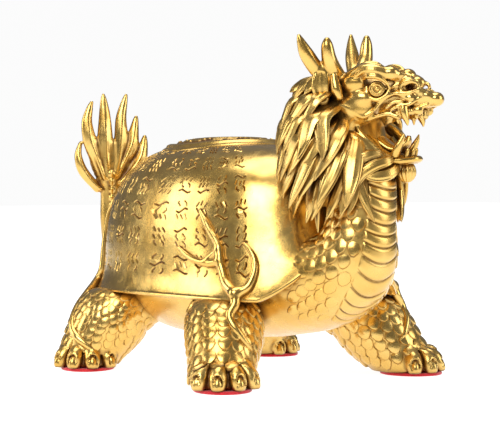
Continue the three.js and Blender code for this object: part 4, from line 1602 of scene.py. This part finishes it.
@dataclass
class Mane:
    """The mane, the side whiskers and the beard, as grooved locks that end in points."""

    facing: float = math.radians(14)
    # First angle from the face, locks a side, heights and radii of root, belly and tip behind,
    # share of the radius beside the face, half width and backward sweep.
    tiers: tuple[Tier, ...] = (
        Tier(98, 7, (139.5, 9), (137.0, 21), (130.0, 28.5), 0.80, 3.6, 14),
        Tier(88, 8, (134.0, 13), (129.0, 27), (117.0, 34.0), 0.78, 3.9, 18),
        Tier(78, 9, (127.0, 15), (121.0, 30), (104.0, 37.5), 0.74, 4.1, 20),
        Tier(66, 10, (120.0, 16), (112.0, 31), (93.0, 38.0), 0.70, 4.1, 22),
        Tier(54, 11, (112.0, 16), (103.0, 29), (83.5, 36.5), 0.68, 4.0, 22),
        Tier(44, 11, (105.0, 15), (95.0, 25), (75.0, 31.0), 0.66, 3.8, 20),
    )
    deep: float = 1.9
    strands: float = 5.0
    groove: float = 0.42
    across: int = 26
    along: int = 18
    seed: int = 5

    def middle(self, height: np.ndarray) -> np.ndarray:
        """Find the neck's middle at heights, which the mane hangs round."""
        up = np.clip((np.asarray(height, float) - 72) / 45, 0, 1)
        return np.stack([1.5 + 4 * up, -84.5 + 9 * up**2], -1)

    def round_neck(self, turn: np.ndarray, height: np.ndarray, radius: np.ndarray) -> np.ndarray:
        """Turn angles, heights and radii round the neck into points."""
        middle = self.middle(height)
        x = middle[..., 0] + radius * np.sin(turn)
        y = middle[..., 1] - radius * np.cos(turn)
        return np.stack([x, y, np.broadcast_to(height, x.shape)], -1)

    def lock(self, path: np.ndarray, out: np.ndarray, strands: float, phase: float) -> Form:
        """Make one lock with grooves along its outer face.

        Args:
            path: Rows of place, half width and half depth.
            out: The way out of the neck at each row.
            strands: How many strands lie side by side.
            phase: The shift of the strands, in turns.

        Returns:
            The closed form.
        """
        tangents = unit(np.gradient(path[:, :3], axis=0))
        wide_ways = unit(np.cross(tangents, out))
        out_ways = unit(np.cross(wide_ways, tangents))
        turn = np.linspace(0, 2 * np.pi, self.across, endpoint=False)
        outer = ramp(np.sin(turn), -0.35, 0.25)
        along = np.linspace(0, 1, len(path))[:, None]
        wave = np.cos(2 * np.pi * (strands * np.cos(turn)[None, :] / 2 + phase + 0.35 * along))
        depth = self.groove * np.minimum(1, path[:, 4:5] / 1.2) * outer[None, :]
        grown = 1 + 0.0 * along
        wide = path[:, 3:4] * np.cos(turn)[None, :] * grown
        deep = path[:, 4:5] * np.sin(turn)[None, :] - depth * (1 + wave)
        rings = path[:, None, :3] + wide[..., None] * wide_ways[:, None] + deep[..., None] * out_ways[:, None]
        return lofted(rings)

    def hanging(self, tier: Tier, away: float, sign: int, chance: np.random.Generator) -> Form:
        """Make one lock of a tier.

        Args:
            tier: The tier.
            away: The root's angle from the face, in radians.
            sign: The side, as 1 for the left.
            chance: Where the small differences between locks come from.

        Returns:
            The lock's form.
        """
        share = np.array([0.0, 0.22, 0.45, 0.68, 0.86, 1.0])
        sweep = math.radians(tier.sweep) * chance.uniform(0.5, 1.3)
        sway = math.radians(chance.uniform(-5, 5))
        drop = chance.uniform(-4.0, 3.0)
        behind = float(ramp(away, 0.8, 2.1))
        fullness = tier.narrow + (1 - tier.narrow) * behind
        at = [0, 0.4, 1]
        height = np.interp(share**1.05, at, [tier.root[0], tier.belly[0], tier.tip[0] + drop])
        radius = np.interp(share, at, [tier.root[1], tier.belly[1] * fullness, tier.tip[1] * fullness])
        radius += chance.uniform(-0.8, 0.8) * share + 0.9 * np.sin(np.pi * share)
        turned = self.facing + sign * np.minimum(away + sweep * share**1.3 + sway * np.sin(4.5 * share), np.pi)
        wide = tier.width * chance.uniform(0.85, 1.15) * np.array([0.7, 1.0, 1.08, 0.92, 0.55, 0.07])
        deep = self.deep * np.array([0.9, 1.05, 1.1, 1.0, 0.7, 0.12])
        rows = np.stack([turned, height, radius, wide, deep], 1)
        rows = smooth_path(rows, 4)
        steps = np.linspace(0, len(rows) - 1, self.along)
        rows = np.stack([np.interp(steps, np.arange(len(rows)), rows[:, k]) for k in range(5)], 1)
        places = self.round_neck(rows[:, 0], rows[:, 1], rows[:, 2])
        out = np.stack([np.sin(rows[:, 0]), -np.cos(rows[:, 0]), np.full(len(rows), 0.45)], 1)
        path = np.concatenate([places, np.maximum(rows[:, 3:], 0.12)], 1)
        return self.lock(path, unit(out), self.strands + chance.uniform(-0.6, 0.6), chance.uniform(0, 1))

    def tiers_form(self) -> Form:
        """Make every tier's locks."""
        chance = np.random.default_rng(self.seed)
        forms = []
        for number, tier in enumerate(self.tiers):
            spread = np.radians(np.linspace(tier.start, 176, tier.locks))
            shift = (number % 2) * 0.5 * (spread[1] - spread[0])
            for sign in (1, -1):
                for away in spread:
                    turned = min(away + shift * (1 if away + shift < np.pi else 0), np.pi)
                    forms.append(self.hanging(tier, turned + chance.normal(0, 0.03), sign, chance))
        return Form.joined(forms)

    def core(self) -> Form:
        """Make the closed mass under the locks."""
        height = np.array([139.0, 136, 130, 122, 113, 104, 95, 87, 81, 84, 92])
        radius = np.array([5.0, 18, 23, 27, 29, 29.5, 28, 24, 20, 15, 8])
        start = np.array([100.0, 98, 92, 82, 72, 62, 54, 50, 50, 55, 60])
        turn = np.linspace(0, 2 * np.pi, 72, endpoint=False)
        away = np.abs((turn - self.facing + np.pi) % (2 * np.pi) - np.pi)
        full = ramp(away[None, :], np.radians(start - 6)[:, None], np.radians(start + 16)[:, None])
        beside = 0.66 + 0.34 * ramp(away, 0.8, 2.1)[None, :]
        reach = 6 + (radius[:, None] * beside - 6) * full
        reach = np.minimum(reach, radius[:, None])
        rings = self.round_neck(turn[None, :], height[:, None], reach)
        return lofted(rings)

    def placed_lock(self, stations: Sequence[Station], strands: float, side: Side, along: int = 26) -> Form:
        """Make a lock whose stations of angle, height, radius and sizes are given for the right side.

        Args:
            stations: Rows of angle from straight ahead in degrees, height, radius, half width and half depth.
            strands: How many strands lie side by side.
            side: The side that it is made for.
            along: How many rows it has.

        Returns:
            The lock's form.
        """
        rows = smooth_path(stations, 6)
        steps = np.linspace(0, len(rows) - 1, along)
        rows = np.stack([np.interp(steps, np.arange(len(rows)), rows[:, k]) for k in range(5)], 1)
        turn = np.radians(rows[:, 0])
        if side is Side.LEFT:
            turn = 2 * self.facing - turn
        places = self.round_neck(turn, rows[:, 1], rows[:, 2])
        out = np.stack([np.sin(turn), -np.cos(turn), np.full(len(rows), 0.3)], 1)
        path = np.concatenate([places, np.maximum(rows[:, 3:], 0.12)], 1)
        return self.lock(path, unit(out), strands, 0.2)

    def whiskers(self) -> Form:
        """Make the long locks that fall beside the throat and the curls under the jaw."""
        long_locks = (
            ((-62, 110, 18, 2.6, 1.8), (-55, 101, 19.5, 3.0, 2.0), (-47, 93, 19, 2.8, 1.8), (-38, 85, 18.6, 2.2, 1.5), (-28, 78, 18.4, 1.3, 1.0), (-21, 74, 18.2, 0.15, 0.15)),
            ((-76, 112, 18, 3.0, 1.8), (-70, 102, 20.5, 3.4, 2.0), (-62, 93, 20.5, 3.0, 1.8), (-58, 86, 19.5, 1.8, 1.2), (-60, 80, 19, 0.2, 0.2)),
            ((-90, 110, 20, 3.2, 1.8), (-84, 100, 22, 3.6, 2.0), (-76, 92, 21.5, 3.0, 1.8), (-72, 86, 20.5, 1.8, 1.2), (-70, 81, 19.8, 0.2, 0.2)),
            ((-104, 106, 21, 3.2, 1.8), (-101, 94, 24, 3.4, 2.0), (-100, 84, 23.5, 2.6, 1.8), (-100, 76, 22.5, 1.5, 1.2), (-99, 69.5, 22, 0.2, 0.2)),
        )
        curls = (
            ((14, 101, 20, 1.4, 1.2), (4, 97.5, 21.5, 2.4, 1.8), (-10, 95.0, 21.5, 2.8, 2.0), (-26, 94.5, 20.5, 2.6, 1.9), (-40, 97, 19.6, 1.8, 1.4), (-46, 101, 19.2, 0.8, 0.8)),
            ((6, 103, 21, 1.4, 1.2), (-8, 101, 22.5, 2.2, 1.8), (-24, 99, 22, 2.6, 1.9), (-40, 95, 20.6, 2.4, 1.7), (-50, 89, 19.5, 1.6, 1.3), (-52, 83, 19, 0.2, 0.2)),
            ((-14, 104.5, 21, 1.6, 1.2), (-30, 103.5, 21, 2.4, 1.8), (-46, 100, 20, 2.6, 1.8), (-58, 93, 19.6, 1.8, 1.3), (-60, 87, 19.4, 0.2, 0.2)),
        )
        forms = []
        for side in Side:
            forms += [self.placed_lock(rows, 5.0, side) for rows in long_locks]
            forms += [self.placed_lock(rows, 4.0, side) for rows in curls]
        return Form.joined(forms)

    def chin_tuft(self, head: Head) -> Form:
        """Make the grooved ball of hair that hangs from the chin."""
        lift = np.linspace(-0.48 * np.pi, 0.48 * np.pi, 26)[:, None]
        turn = np.linspace(0, 2 * np.pi, 64, endpoint=False)[None, :]
        grooves = 1 - 0.075 * (1 + np.cos(13 * turn + 1.2 * lift)) * np.cos(lift)
        size = np.array([4.8, 4.3, 4.9])
        x = size[0] * np.cos(lift) * np.cos(turn) * grooves
        y = size[1] * np.cos(lift) * np.sin(turn) * grooves
        z = size[2] * np.sin(lift) * np.ones_like(turn)
        rings = np.stack([x, y - 23.0, z - 31.6], -1)
        return lofted(rings).placed(head.yaw, head.place)

    def build(self, shop: Workshop, head: Head) -> None:
        """Make the mane's pieces."""
        shop.piece("mane", Form.joined([self.core(), self.tiers_form()]), shop.hair, reach=0.16)
        beard = Form.joined([self.whiskers(), self.chin_tuft(head)])
        shop.piece("whiskers_and_beard", beard, shop.hair, reach=0.16)


class ScaleTree:
    """The node tree that sets one overlapping scale on every point it is given."""

    INPUTS = (("Corners", "NodeSocketInt", 10), ("Dome", "NodeSocketFloat", 0.3),
              ("Tilt", "NodeSocketFloat", 0.2), ("Taper", "NodeSocketFloat", 0.28),
              ("Edge", "NodeSocketFloat", 0.8), ("Sunk", "NodeSocketFloat", 0.3))

    def __init__(self) -> None:
        """Build the tree."""
        self.tree = bpy.data.node_groups.new("overlapping_scales", "GeometryNodeTree")
        face = self.tree.interface
        face.new_socket("Points", in_out="INPUT", socket_type="NodeSocketGeometry")
        for name, kind, value in self.INPUTS:
            face.new_socket(name, in_out="INPUT", socket_type=kind).default_value = value
        face.new_socket("Finish", in_out="INPUT", socket_type="NodeSocketMaterial")
        face.new_socket("Scales", in_out="OUTPUT", socket_type="NodeSocketGeometry")
        self.entry = self.tree.nodes.new("NodeGroupInput")
        self.fill()

    def node(self, kind: str, links: dict[str | int, bpy.types.NodeSocket | float | str], **settings: object) -> bpy.types.Node:
        """Add a node, set its properties, and link or set its inputs."""
        node = self.tree.nodes.new(kind)
        for key, value in settings.items():
            setattr(node, key, value)
        for key, source in links.items():
            if isinstance(source, bpy.types.NodeSocket):
                self.tree.links.new(source, node.inputs[key])
            else:
                node.inputs[key].default_value = source
        return node

    def math(self, kind: str, first: bpy.types.NodeSocket | float, second: bpy.types.NodeSocket | float) -> bpy.types.NodeSocket:
        """Combine two numbers."""
        return self.node("ShaderNodeMath", {0: first, 1: second}, operation=kind).outputs[0]

    def named(self, name: str) -> bpy.types.NodeSocket:
        """Read a vector attribute of the points."""
        return self.node("GeometryNodeInputNamedAttribute", {"Name": name}, data_type="FLOAT_VECTOR").outputs[0]

    def plate(self) -> bpy.types.NodeSocket:
        """Shape one scale of radius 1: bevelled, domed, tilted and narrower at its free end."""
        entry = self.entry.outputs
        cone = self.node("GeometryNodeMeshCone", {
            "Vertices": entry["Corners"], "Side Segments": 1, "Fill Segments": 2,
            "Radius Top": entry["Edge"], "Radius Bottom": 1.0, "Depth": 0.3,
        })
        place = self.node("ShaderNodeSeparateXYZ", {0: self.node("GeometryNodeInputPosition", {}).outputs[0]})
        x, y, z = place.outputs
        far = self.math("ADD", self.math("MULTIPLY", x, x), self.math("MULTIPLY", y, y))
        free = self.math("MAXIMUM", self.math("MULTIPLY", y, -1.0), 0.0)
        narrow = self.math("SUBTRACT", 1.0, self.math("MULTIPLY", free, entry["Taper"]))
        domed = self.math("MULTIPLY", self.math("SUBTRACT", 1.0, far), entry["Dome"])
        tipped = self.math("SUBTRACT", domed, self.math("MULTIPLY", y, entry["Tilt"]))
        height = self.math("SUBTRACT", self.math("ADD", z, tipped), entry["Sunk"])
        shaped = self.node("ShaderNodeCombineXYZ", {0: self.math("MULTIPLY", x, narrow), 1: y, 2: height})
        rim = self.node("ShaderNodeMapRange", {"Value": far, "From Min": 0.5, "From Max": 1.0, "To Min": -0.15, "To Max": 0.75})
        stored = self.node("GeometryNodeStoreNamedAttribute", {
            "Geometry": cone.outputs["Mesh"], "Name": "cavity", "Value": rim.outputs[0],
        }, data_type="FLOAT", domain="POINT")
        return self.node("GeometryNodeSetPosition", {
            "Geometry": stored.outputs[0], "Position": shaped.outputs[0],
        }).outputs[0]

    def fill(self) -> None:
        """Place the scales by the attributes facing, root and size, and make them real."""
        entry = self.entry.outputs
        flat = self.node("FunctionNodeAlignRotationToVector", {"Vector": self.named("facing")}, axis="Z")
        turned = self.node("FunctionNodeAlignRotationToVector", {
            "Rotation": flat.outputs[0], "Vector": self.named("root"),
        }, axis="Y", pivot_axis="Z")
        laid = self.node("GeometryNodeInstanceOnPoints", {
            "Points": entry["Points"], "Instance": self.plate(),
            "Rotation": turned.outputs[0], "Scale": self.named("size"),
        })
        real = self.node("GeometryNodeRealizeInstances", {0: laid.outputs[0]})
        coated = self.node("GeometryNodeSetMaterial", {"Geometry": real.outputs[0], "Material": entry["Finish"]})
        self.node("NodeGroupOutput", {0: coated.outputs[0]})


@dataclass
class Coat:
    """A coat of overlapping scales, gathered as points that carry where each scale faces."""

    places: list[np.ndarray] = field(default_factory=list)
    facing: list[np.ndarray] = field(default_factory=list)
    root: list[np.ndarray] = field(default_factory=list)
    size: list[np.ndarray] = field(default_factory=list)

    def lay(self, places: np.ndarray, facing: np.ndarray, down: np.ndarray, size: np.ndarray) -> None:
        """Add scales whose free ends point along down."""
        self.places.append(places)
        self.facing.append(facing)
        self.root.append(-(down - (down * facing).sum(1, keepdims=True) * facing))
        self.size.append(size * METRES)

    def mirrored(self) -> "Coat":
        """Make the coat for the turtle's other side."""
        flip = np.array([-1, 1, 1])
        swapped = [[rows * flip for rows in group] for group in (self.places, self.facing, self.root)]
        return Coat(*swapped, list(self.size))

    def build(self, shop: Workshop, tree: ScaleTree, name: str) -> None:
        """Run the node tree on the points and keep its result as a plain piece.

        Args:
            shop: The workshop that finishes the piece.
            tree: The tree that makes the scales.
            name: The piece's name.
        """
        places = np.vstack(self.places)
        mesh = bpy.data.meshes.new(f"{name}_points")
        mesh.vertices.add(len(places))
        mesh.vertices.foreach_set("co", (places * METRES).astype(np.float32).ravel())
        for key, rows in (("facing", self.facing), ("root", self.root), ("size", self.size)):
            attribute = mesh.attributes.new(key, "FLOAT_VECTOR", "POINT")
            attribute.data.foreach_set("vector", np.vstack(rows).astype(np.float32).ravel())
        seeds = bpy.data.objects.new(f"{name}_points", mesh)
        bpy.context.scene.collection.objects.link(seeds)
        grower = seeds.modifiers.new("scales", "NODES")
        grower.node_group = tree.tree
        sockets = {item.name: item.identifier for item in tree.tree.interface.items_tree if item.in_out == "INPUT"}
        grower[sockets["Finish"]] = shop.scaled
        ready = seeds.evaluated_get(bpy.context.evaluated_depsgraph_get())
        made_mesh = bpy.data.meshes.new_from_object(ready)
        seeds.modifiers.remove(grower)
        bpy.data.objects.remove(seeds)
        made_mesh.name = name
        made_mesh.shade_smooth()
        mark_sharp(made_mesh, math.radians(24))
        made = bpy.data.objects.new(name, made_mesh)
        bpy.context.scene.collection.objects.link(made)
        shop.finished(made, Slot.BRASS, CASTING_NODE)


@dataclass
class LegScales:
    """The scales of one leg, in rings from the shell's rim to the toes."""

    leg: Leg
    around: float
    down: float
    plump: float = 1.0
    highest: float = 38.0
    seed: int = 3

    def coat(self, trunk: Trunk) -> Coat:
        """Lay the right leg's scales.

        Args:
            trunk: The trunk, inside which no scale is laid.

        Returns:
            The coat.
        """
        chance = np.random.default_rng(self.seed)
        leg, coat = self.leg, Coat()
        path = smooth_path([(-x, *rest) for x, *rest in leg.stations], 12)
        tangents = unit(np.gradient(path[:, :3], axis=0))
        climb = np.concatenate([[0], np.cumsum(np.linalg.norm(np.diff(path[:, :3], axis=0), axis=1))])
        sole = np.array([-leg.sole[0], leg.sole[1]])
        ahead = np.array([math.sin(-leg.heading), -math.cos(leg.heading)])
        for row, at in enumerate(np.arange(-2.0, climb[-1] + 8, self.down)):
            middle = np.array([np.interp(at, climb, path[:, k]) for k in range(3)])
            tangent = unit(np.array([np.interp(at, climb, tangents[:, k]) for k in range(3)]))
            middle = middle + tangent * min(0, at) + tangent * max(0, at - climb[-1])
            wide = float(np.interp(at, climb, path[:, 3]))
            across = unit(np.cross(tangent, (0, 1, 0)))
            over = np.cross(across, tangent)
            count = int(2 * np.pi * wide / self.around)
            turn = 2 * np.pi * (np.arange(count) + 0.5 * (row % 2)) / count
            turn = turn + chance.normal(0, 0.02, count)
            ways = np.cos(turn)[:, None] * across + np.sin(turn)[:, None] * over
            places = leg.skin.struck(np.repeat(middle[None], count, 0), ways)
            facing = unit(leg.skin.slope(places))
            reach = (places[:, :2] - sole) @ ahead
            kept = (places[:, 2] < self.highest) & (places[:, 2] > 4.5)
            kept &= ~((reach > 7.5) & (places[:, 2] < 12.5)) & ~((reach > 3) & (places[:, 2] < 9))
            kept &= trunk.skin.sample(places) > 0.4
            kept &= (places - middle) @ tangent < 4.0
            kept &= np.abs(leg.skin.sample(places)) < 0.5
            size = np.array([self.around * 0.60, self.down * 0.92, self.around * 0.5 * self.plump])
            sizes = size * chance.uniform(0.93, 1.07, (count, 1))
            down = np.repeat((tangent * [1, 1, 1] + [0, 0, -0.6])[None], count, 0)
            if kept.any():
                coat.lay(places[kept], facing[kept], down[kept], sizes[kept])
        return coat


@dataclass
class Neck:
    """The neck's dress: scales at the sides and back, and cross plates over the throat and the chest."""

    trunk: Trunk
    around: float = 5.6
    down: float = 4.3
    band_half: float = math.radians(37)
    plates: int = 15
    throat: tuple[float, float] = (0.30, 0.86)
    proud: float = 1.0
    seed: int = 8

    def frames(self) -> tuple[np.ndarray, np.ndarray, np.ndarray, np.ndarray, np.ndarray]:
        """List the neck's middle line with its climb, tangents, ways to the left and ways to the front."""
        path = smooth_path(self.trunk.neck_stations, 24)
        tangents = unit(np.gradient(path[:, :3], axis=0))
        left = unit(np.cross((0, -1, -0.3), tangents) * -1)
        left *= np.sign(left[:, :1])
        front = unit(np.cross(left, tangents))
        front *= np.sign((front @ np.array([0, -1, -0.4])))[:, None]
        steps = np.linalg.norm(np.diff(path[:, :3], axis=0), axis=1)
        return path, np.concatenate([[0], np.cumsum(steps)]), tangents, left, front

    def on_skin(self, at: np.ndarray, turn: np.ndarray) -> tuple[np.ndarray, np.ndarray, np.ndarray]:
        """Find places on the neck's skin by climb and angle from the front.

        Args:
            at: The climb along the middle line in millimetres.
            turn: The angle from the throat's middle, in radians, positive to the left.

        Returns:
            The places, the normals and the middle line's tangents.
        """
        path, climb, tangents, left, front = self.frames()

        def read(rows: np.ndarray) -> np.ndarray:
            return np.stack([np.interp(at, climb, rows[:, k]) for k in range(3)], -1)

        middle, tangent = read(path), unit(read(tangents))
        twist = turn + math.radians(8) * ramp(at / climb[-1], 0.5, 1.0)
        ways = np.cos(twist)[:, None] * read(front) + np.sin(twist)[:, None] * read(left)
        places = self.trunk.skin.struck(middle, unit(ways))
        return places, unit(self.trunk.skin.slope(places)), tangent

    def half_angle(self, share: np.ndarray) -> np.ndarray:
        """Find half the throat band's angle at shares of its length, from the chest up."""
        return self.band_half * (0.45 + 0.55 * ramp(share, -0.05, 0.3)) * (1 + 0.12 * ramp(share, 0.7, 1.0))

    def coat(self) -> Coat:
        """Lay the scales round the neck, clear of the throat's plates and of the mane's roots."""
        chance = np.random.default_rng(self.seed)
        coat = Coat()
        path, climb, *_ = self.frames()
        total = climb[-1]
        for row, at in enumerate(np.arange(total * 0.24, total * 0.9, self.down)):
            wide = float(np.interp(at, climb, path[:, 3:5].mean(1)))
            share = (at / total - self.throat[0]) / (self.throat[1] - self.throat[0])
            start = float(self.half_angle(np.array(share))) + 0.55 * self.around / wide
            count = max(3, int(round((2 * np.pi - 2 * start) * wide / self.around)))
            turn = np.linspace(start, 2 * np.pi - start, count) + (row % 2) * 0.5 * self.around / wide
            turn = turn[turn < 2 * np.pi - start + 0.02] + chance.normal(0, 0.012)
            places, facing, tangent = self.on_skin(np.full(len(turn), at), turn)
            kept = (places[:, 2] > 30) & (np.abs(self.trunk.skin.sample(places)) < 0.6)
            kept &= places[:, 1] < -58 - 0.35 * np.abs(places[:, 0])
            size = np.array([self.around * 0.60, self.down * 0.95, self.around * 0.42])
            sizes = size * chance.uniform(0.93, 1.07, (len(turn), 1))
            if kept.any():
                coat.lay(places[kept], facing[kept], -tangent[kept], sizes[kept])
        return coat

    def plates_form(self) -> tuple[Form, np.ndarray]:
        """Make the throat's band of cross plates as one closed slab.

        Returns:
            The form, and how hollow each of its points is.
        """
        climb = self.frames()[1]
        per_plate, across = 9, 27
        steps = np.linspace(0, self.plates, self.plates * per_plate + 1)
        share = steps / self.plates
        at = climb[-1] * (self.throat[0] + (self.throat[1] - self.throat[0]) * share)
        sideways = np.linspace(-1, 1, across)
        turn = self.half_angle(share)[:, None] * sideways[None, :]
        sag = 2.2 * sideways[None, :] ** 2
        lengthways = np.repeat(at[:, None], across, 1) + sag
        places, facing, _ = self.on_skin(lengthways.ravel(), turn.ravel())
        phase = (steps % 1.0)[:, None]
        plump = 1 - np.abs(2 * phase - 1) ** 5
        lower = 0.35 * (1 - phase)
        edge = 1 - np.abs(sideways[None, :]) ** 14
        height = (self.proud * (0.25 + 0.75 * plump + lower * plump)) * edge
        ends = ramp(share, 0, 0.01) * ramp(share, 1, 0.99)
        height = height * ends[:, None] - 0.3
        outside = places + facing * height.reshape(-1, 1)
        inside = places - facing * 1.6
        rings = np.concatenate([
            outside.reshape(len(at), across, 3), inside.reshape(len(at), across, 3)[:, ::-1],
        ], axis=1)
        hollow = np.concatenate([1 - plump + 0 * height, np.zeros_like(height)], axis=1)
        cavity = np.concatenate([(0.9 * hollow ** 1.5).ravel(), np.zeros(2)])
        return lofted(rings), cavity

    def build(self, shop: Workshop, tree: ScaleTree) -> None:
        """Make the neck's pieces."""
        form, cavity = self.plates_form()
        shop.piece("throat_plates", form, shop.satin, crisp=math.radians(50), cavity=cavity)
        self.coat().build(shop, tree, "neck_scales")


@dataclass
class Pads:
    """The felt pads under the paws."""

    half_width: float = 13.2
    half_length: float = 15.4
    thickness: float = 1.5
    slide: float = 2.5
    around: int = 96

    def form(self, place: tuple[float, float], heading: float) -> Form:
        """Make one pad: an oval disc with soft edges and a faintly uneven outline."""
        turn = np.linspace(0, 2 * np.pi, self.around, endpoint=False)
        uneven = 1 - 0.012 * (1 + np.sin(3 * turn + heading * 5)) - 0.006 * (1 + np.sin(11 * turn))
        rings = []
        for inset, height in ((0.6, 0.0), (0.97, 0.0), (0.992, 0.12), (1, 0.45), (1, 1.05), (0.99, 1.38), (0.965, 1.5), (0.6, 1.5)):
            x = self.half_width * inset * uneven * np.cos(turn)
            y = self.half_length * inset * uneven * np.sin(turn) - self.slide
            rings.append(np.stack([x, y, np.full_like(x, height)], 1))
        return lofted(np.array(rings)).placed(heading, (*place, 0))

    def build(self, shop: Workshop, legs: Sequence[Leg]) -> None:
        """Make the four pads' pieces."""
        for leg in legs:
            for side in Side:
                name = f"{leg.name}_{side.name.lower()}_pad"
                place = (side.value * leg.sole[0], leg.sole[1])
                form = self.form(place, side.value * leg.heading)
                cavity = np.zeros(len(form.points))
                shop.piece(f"{name}_felt", form, shop.felt, Slot.FELT, name, cavity=cavity)


@dataclass
class Studio:
    """The pale floor, the soft lights and the camera."""

    camera_place: tuple[float, float, float] = (-480.3, -639.6, 90.0)
    camera_target: tuple[float, float, float] = (2.2, -1.6, 76.0)
    lens: float = 118.08
    floor_half: float = 6000.0

    def soft_box(self, name: str, place: Sequence[float], target: Sequence[float], size: tuple[float, float], power: float, colour: Sequence[float] = (1, 1, 1)) -> None:
        """Hang one soft light.

        Args:
            name: The light's name.
            place: Its place in millimetres.
            target: The point that it faces.
            size: Its width and height in millimetres.
            power: Its power in watts.
            colour: Its colour.
        """
        light = bpy.data.lights.new(name, "AREA")
        light.shape = "RECTANGLE"
        light.size, light.size_y = size[0] * METRES, size[1] * METRES
        light.energy = power
        light.color = colour
        made = bpy.data.objects.new(name, light)
        made.location = Vector(place) * METRES
        made.rotation_euler = (Vector(target) - Vector(place)).to_track_quat("-Z", "Y").to_euler()
        bpy.context.scene.collection.objects.link(made)

    def world(self) -> None:
        """Grade the surroundings: pale where the camera sees them, softer in reflections."""
        world = bpy.data.worlds.new("studio")
        bpy.context.scene.world = world
        world.use_nodes = True
        tree = world.node_tree
        back = tree.nodes["Background"]
        coords = tree.nodes.new("ShaderNodeTexCoord")
        split = tree.nodes.new("ShaderNodeSeparateXYZ")
        ramp_node = tree.nodes.new("ShaderNodeValToRGB")
        tree.links.new(coords.outputs["Generated"], split.inputs[0])
        grade = tree.nodes.new("ShaderNodeMapRange")
        grade.inputs["From Min"].default_value = -1
        tree.links.new(split.outputs["Z"], grade.inputs["Value"])
        tree.links.new(grade.outputs["Result"], ramp_node.inputs[0])
        stops = ramp_node.color_ramp.elements
        stops[0].position, stops[0].color = 0.0, (0.2, 0.2, 0.2, 1)
        stops[1].position, stops[1].color = 1.0, (0.26, 0.26, 0.26, 1)
        middle = stops.new(0.55)
        middle.color = (0.15, 0.15, 0.15, 1)
        tree.links.new(ramp_node.outputs["Color"], back.inputs["Color"])
        plain = tree.nodes.new("ShaderNodeBackground")
        plain.inputs["Color"].default_value = (1, 1, 1, 1)
        plain.inputs["Strength"].default_value = 0.97
        path = tree.nodes.new("ShaderNodeLightPath")
        mix = tree.nodes.new("ShaderNodeMixShader")
        tree.links.new(path.outputs["Is Camera Ray"], mix.inputs[0])
        tree.links.new(back.outputs[0], mix.inputs[1])
        tree.links.new(plain.outputs[0], mix.inputs[2])
        tree.links.new(mix.outputs[0], tree.nodes["World Output"].inputs["Surface"])

    def floor(self) -> None:
        """Lay the pale floor."""
        half = self.floor_half
        points = np.array([(-half, -half, 0), (half, -half, 0), (half, half, 0), (-half, half, 0)], float)
        mesh = mesh_from("floor", Form(points, np.array([[0, 1, 2, 3]])))
        mesh.materials.append(PaperFinish("pale_paper").make())
        made = bpy.data.objects.new("floor", mesh)
        bpy.context.scene.collection.objects.link(made)

    def camera(self) -> None:
        """Set up the camera at the photograph's angle."""
        camera = bpy.data.cameras.new("camera")
        camera.lens, camera.sensor_width = self.lens, 36.0
        camera.clip_start, camera.clip_end = 0.01, 60.0
        made = bpy.data.objects.new("camera", camera)
        made.location = Vector(self.camera_place) * METRES
        way = Vector(self.camera_target) - Vector(self.camera_place)
        made.rotation_euler = way.to_track_quat("-Z", "Y").to_euler()
        bpy.context.scene.collection.objects.link(made)
        bpy.context.scene.camera = made

    def build(self) -> None:
        """Set up the whole studio."""
        bpy.context.scene.view_settings.view_transform = "Standard"
        self.world()
        self.floor()
        self.camera()
        self.soft_box("key", (-900, -500, 900), (-20, 0, 60), (700, 700), 9.5)
        self.soft_box("side", (700, -900, 500), (0, -40, 70), (500, 700), 3.5)
        self.soft_box("top", (0, 100, 1200), (0, 0, 80), (900, 700), 6.5)
        self.soft_box("rear_left", (-800, 700, 450), (-30, 40, 60), (500, 600), 3.5)


def main() -> None:
    """Build every sub-assembly and the studio."""
    logging.basicConfig(level=logging.INFO, format="%(name)s: %(message)s")
    shop = Workshop(
        polished=BrassFinish("polished_brass", polish=0.23, waviness=0.16).make(),
        satin=BrassFinish("satin_brass", polish=0.29, waviness=0.14).make(),
        carved=BrassFinish("carved_brass", polish=0.27, patina_and_painted_shade=1.15, waviness=0.1).make(),
        hair=BrassFinish("combed_brass", polish=0.27, patina_and_painted_shade=1.25, waviness=0.05).make(),
        scaled=BrassFinish("scaled_brass", polish=0.24, patina_and_painted_shade=1.0, waviness=0.08).make(),
        felt=FeltFinish("red_felt").make(),
    )
    Studio().build()
    shell = Shell()
    shell.build(shop)
    Medallion(shell).build(shop)
    trunk = Trunk()
    trunk.build(shop)
    legs = [
        Leg(
            "front",
            ((30, -28, 34, 12, 12), (40, -38, 30, 16.5, 16.5), (44.5, -44, 23, 17.3, 17.3), (50.5, -51, 13, 15, 15), (53.5, -54.5, 6, 13.5, 13.5)),
            (55, -56), math.radians(24), ((-76, -80, -1), (-14, -12, 52)), Paw(),
        ),
        Leg(
            "hind",
            ((29, 40, 34, 12, 14), (39, 47.5, 31, 16.5, 19), (45, 51, 24, 17.5, 19.5), (52, 54.5, 13, 15, 16), (55, 56, 6, 13.5, 14)),
            (55, 55), math.radians(42), ((-78, 26, -1), (-12, 82, 54)), Paw(),
        ),
    ]
    tree = ScaleTree()
    for leg, around, down in ((legs[0], 6.0, 4.6), (legs[1], 4.8, 3.9)):
        leg.build(shop)
        coat = LegScales(leg, around, down).coat(trunk)
        coat.build(shop, tree, f"{leg.name}_right_scales")
        coat.mirrored().build(shop, tree, f"{leg.name}_left_scales")
    Neck(trunk).build(shop, tree)
    head = Head()
    head.build(shop)
    Mane().build(shop, head)
    Vines(shell).build(shop)
    Tail().build(shop)
    Pads().build(shop, legs)


if __name__ == "__main__":
    main()
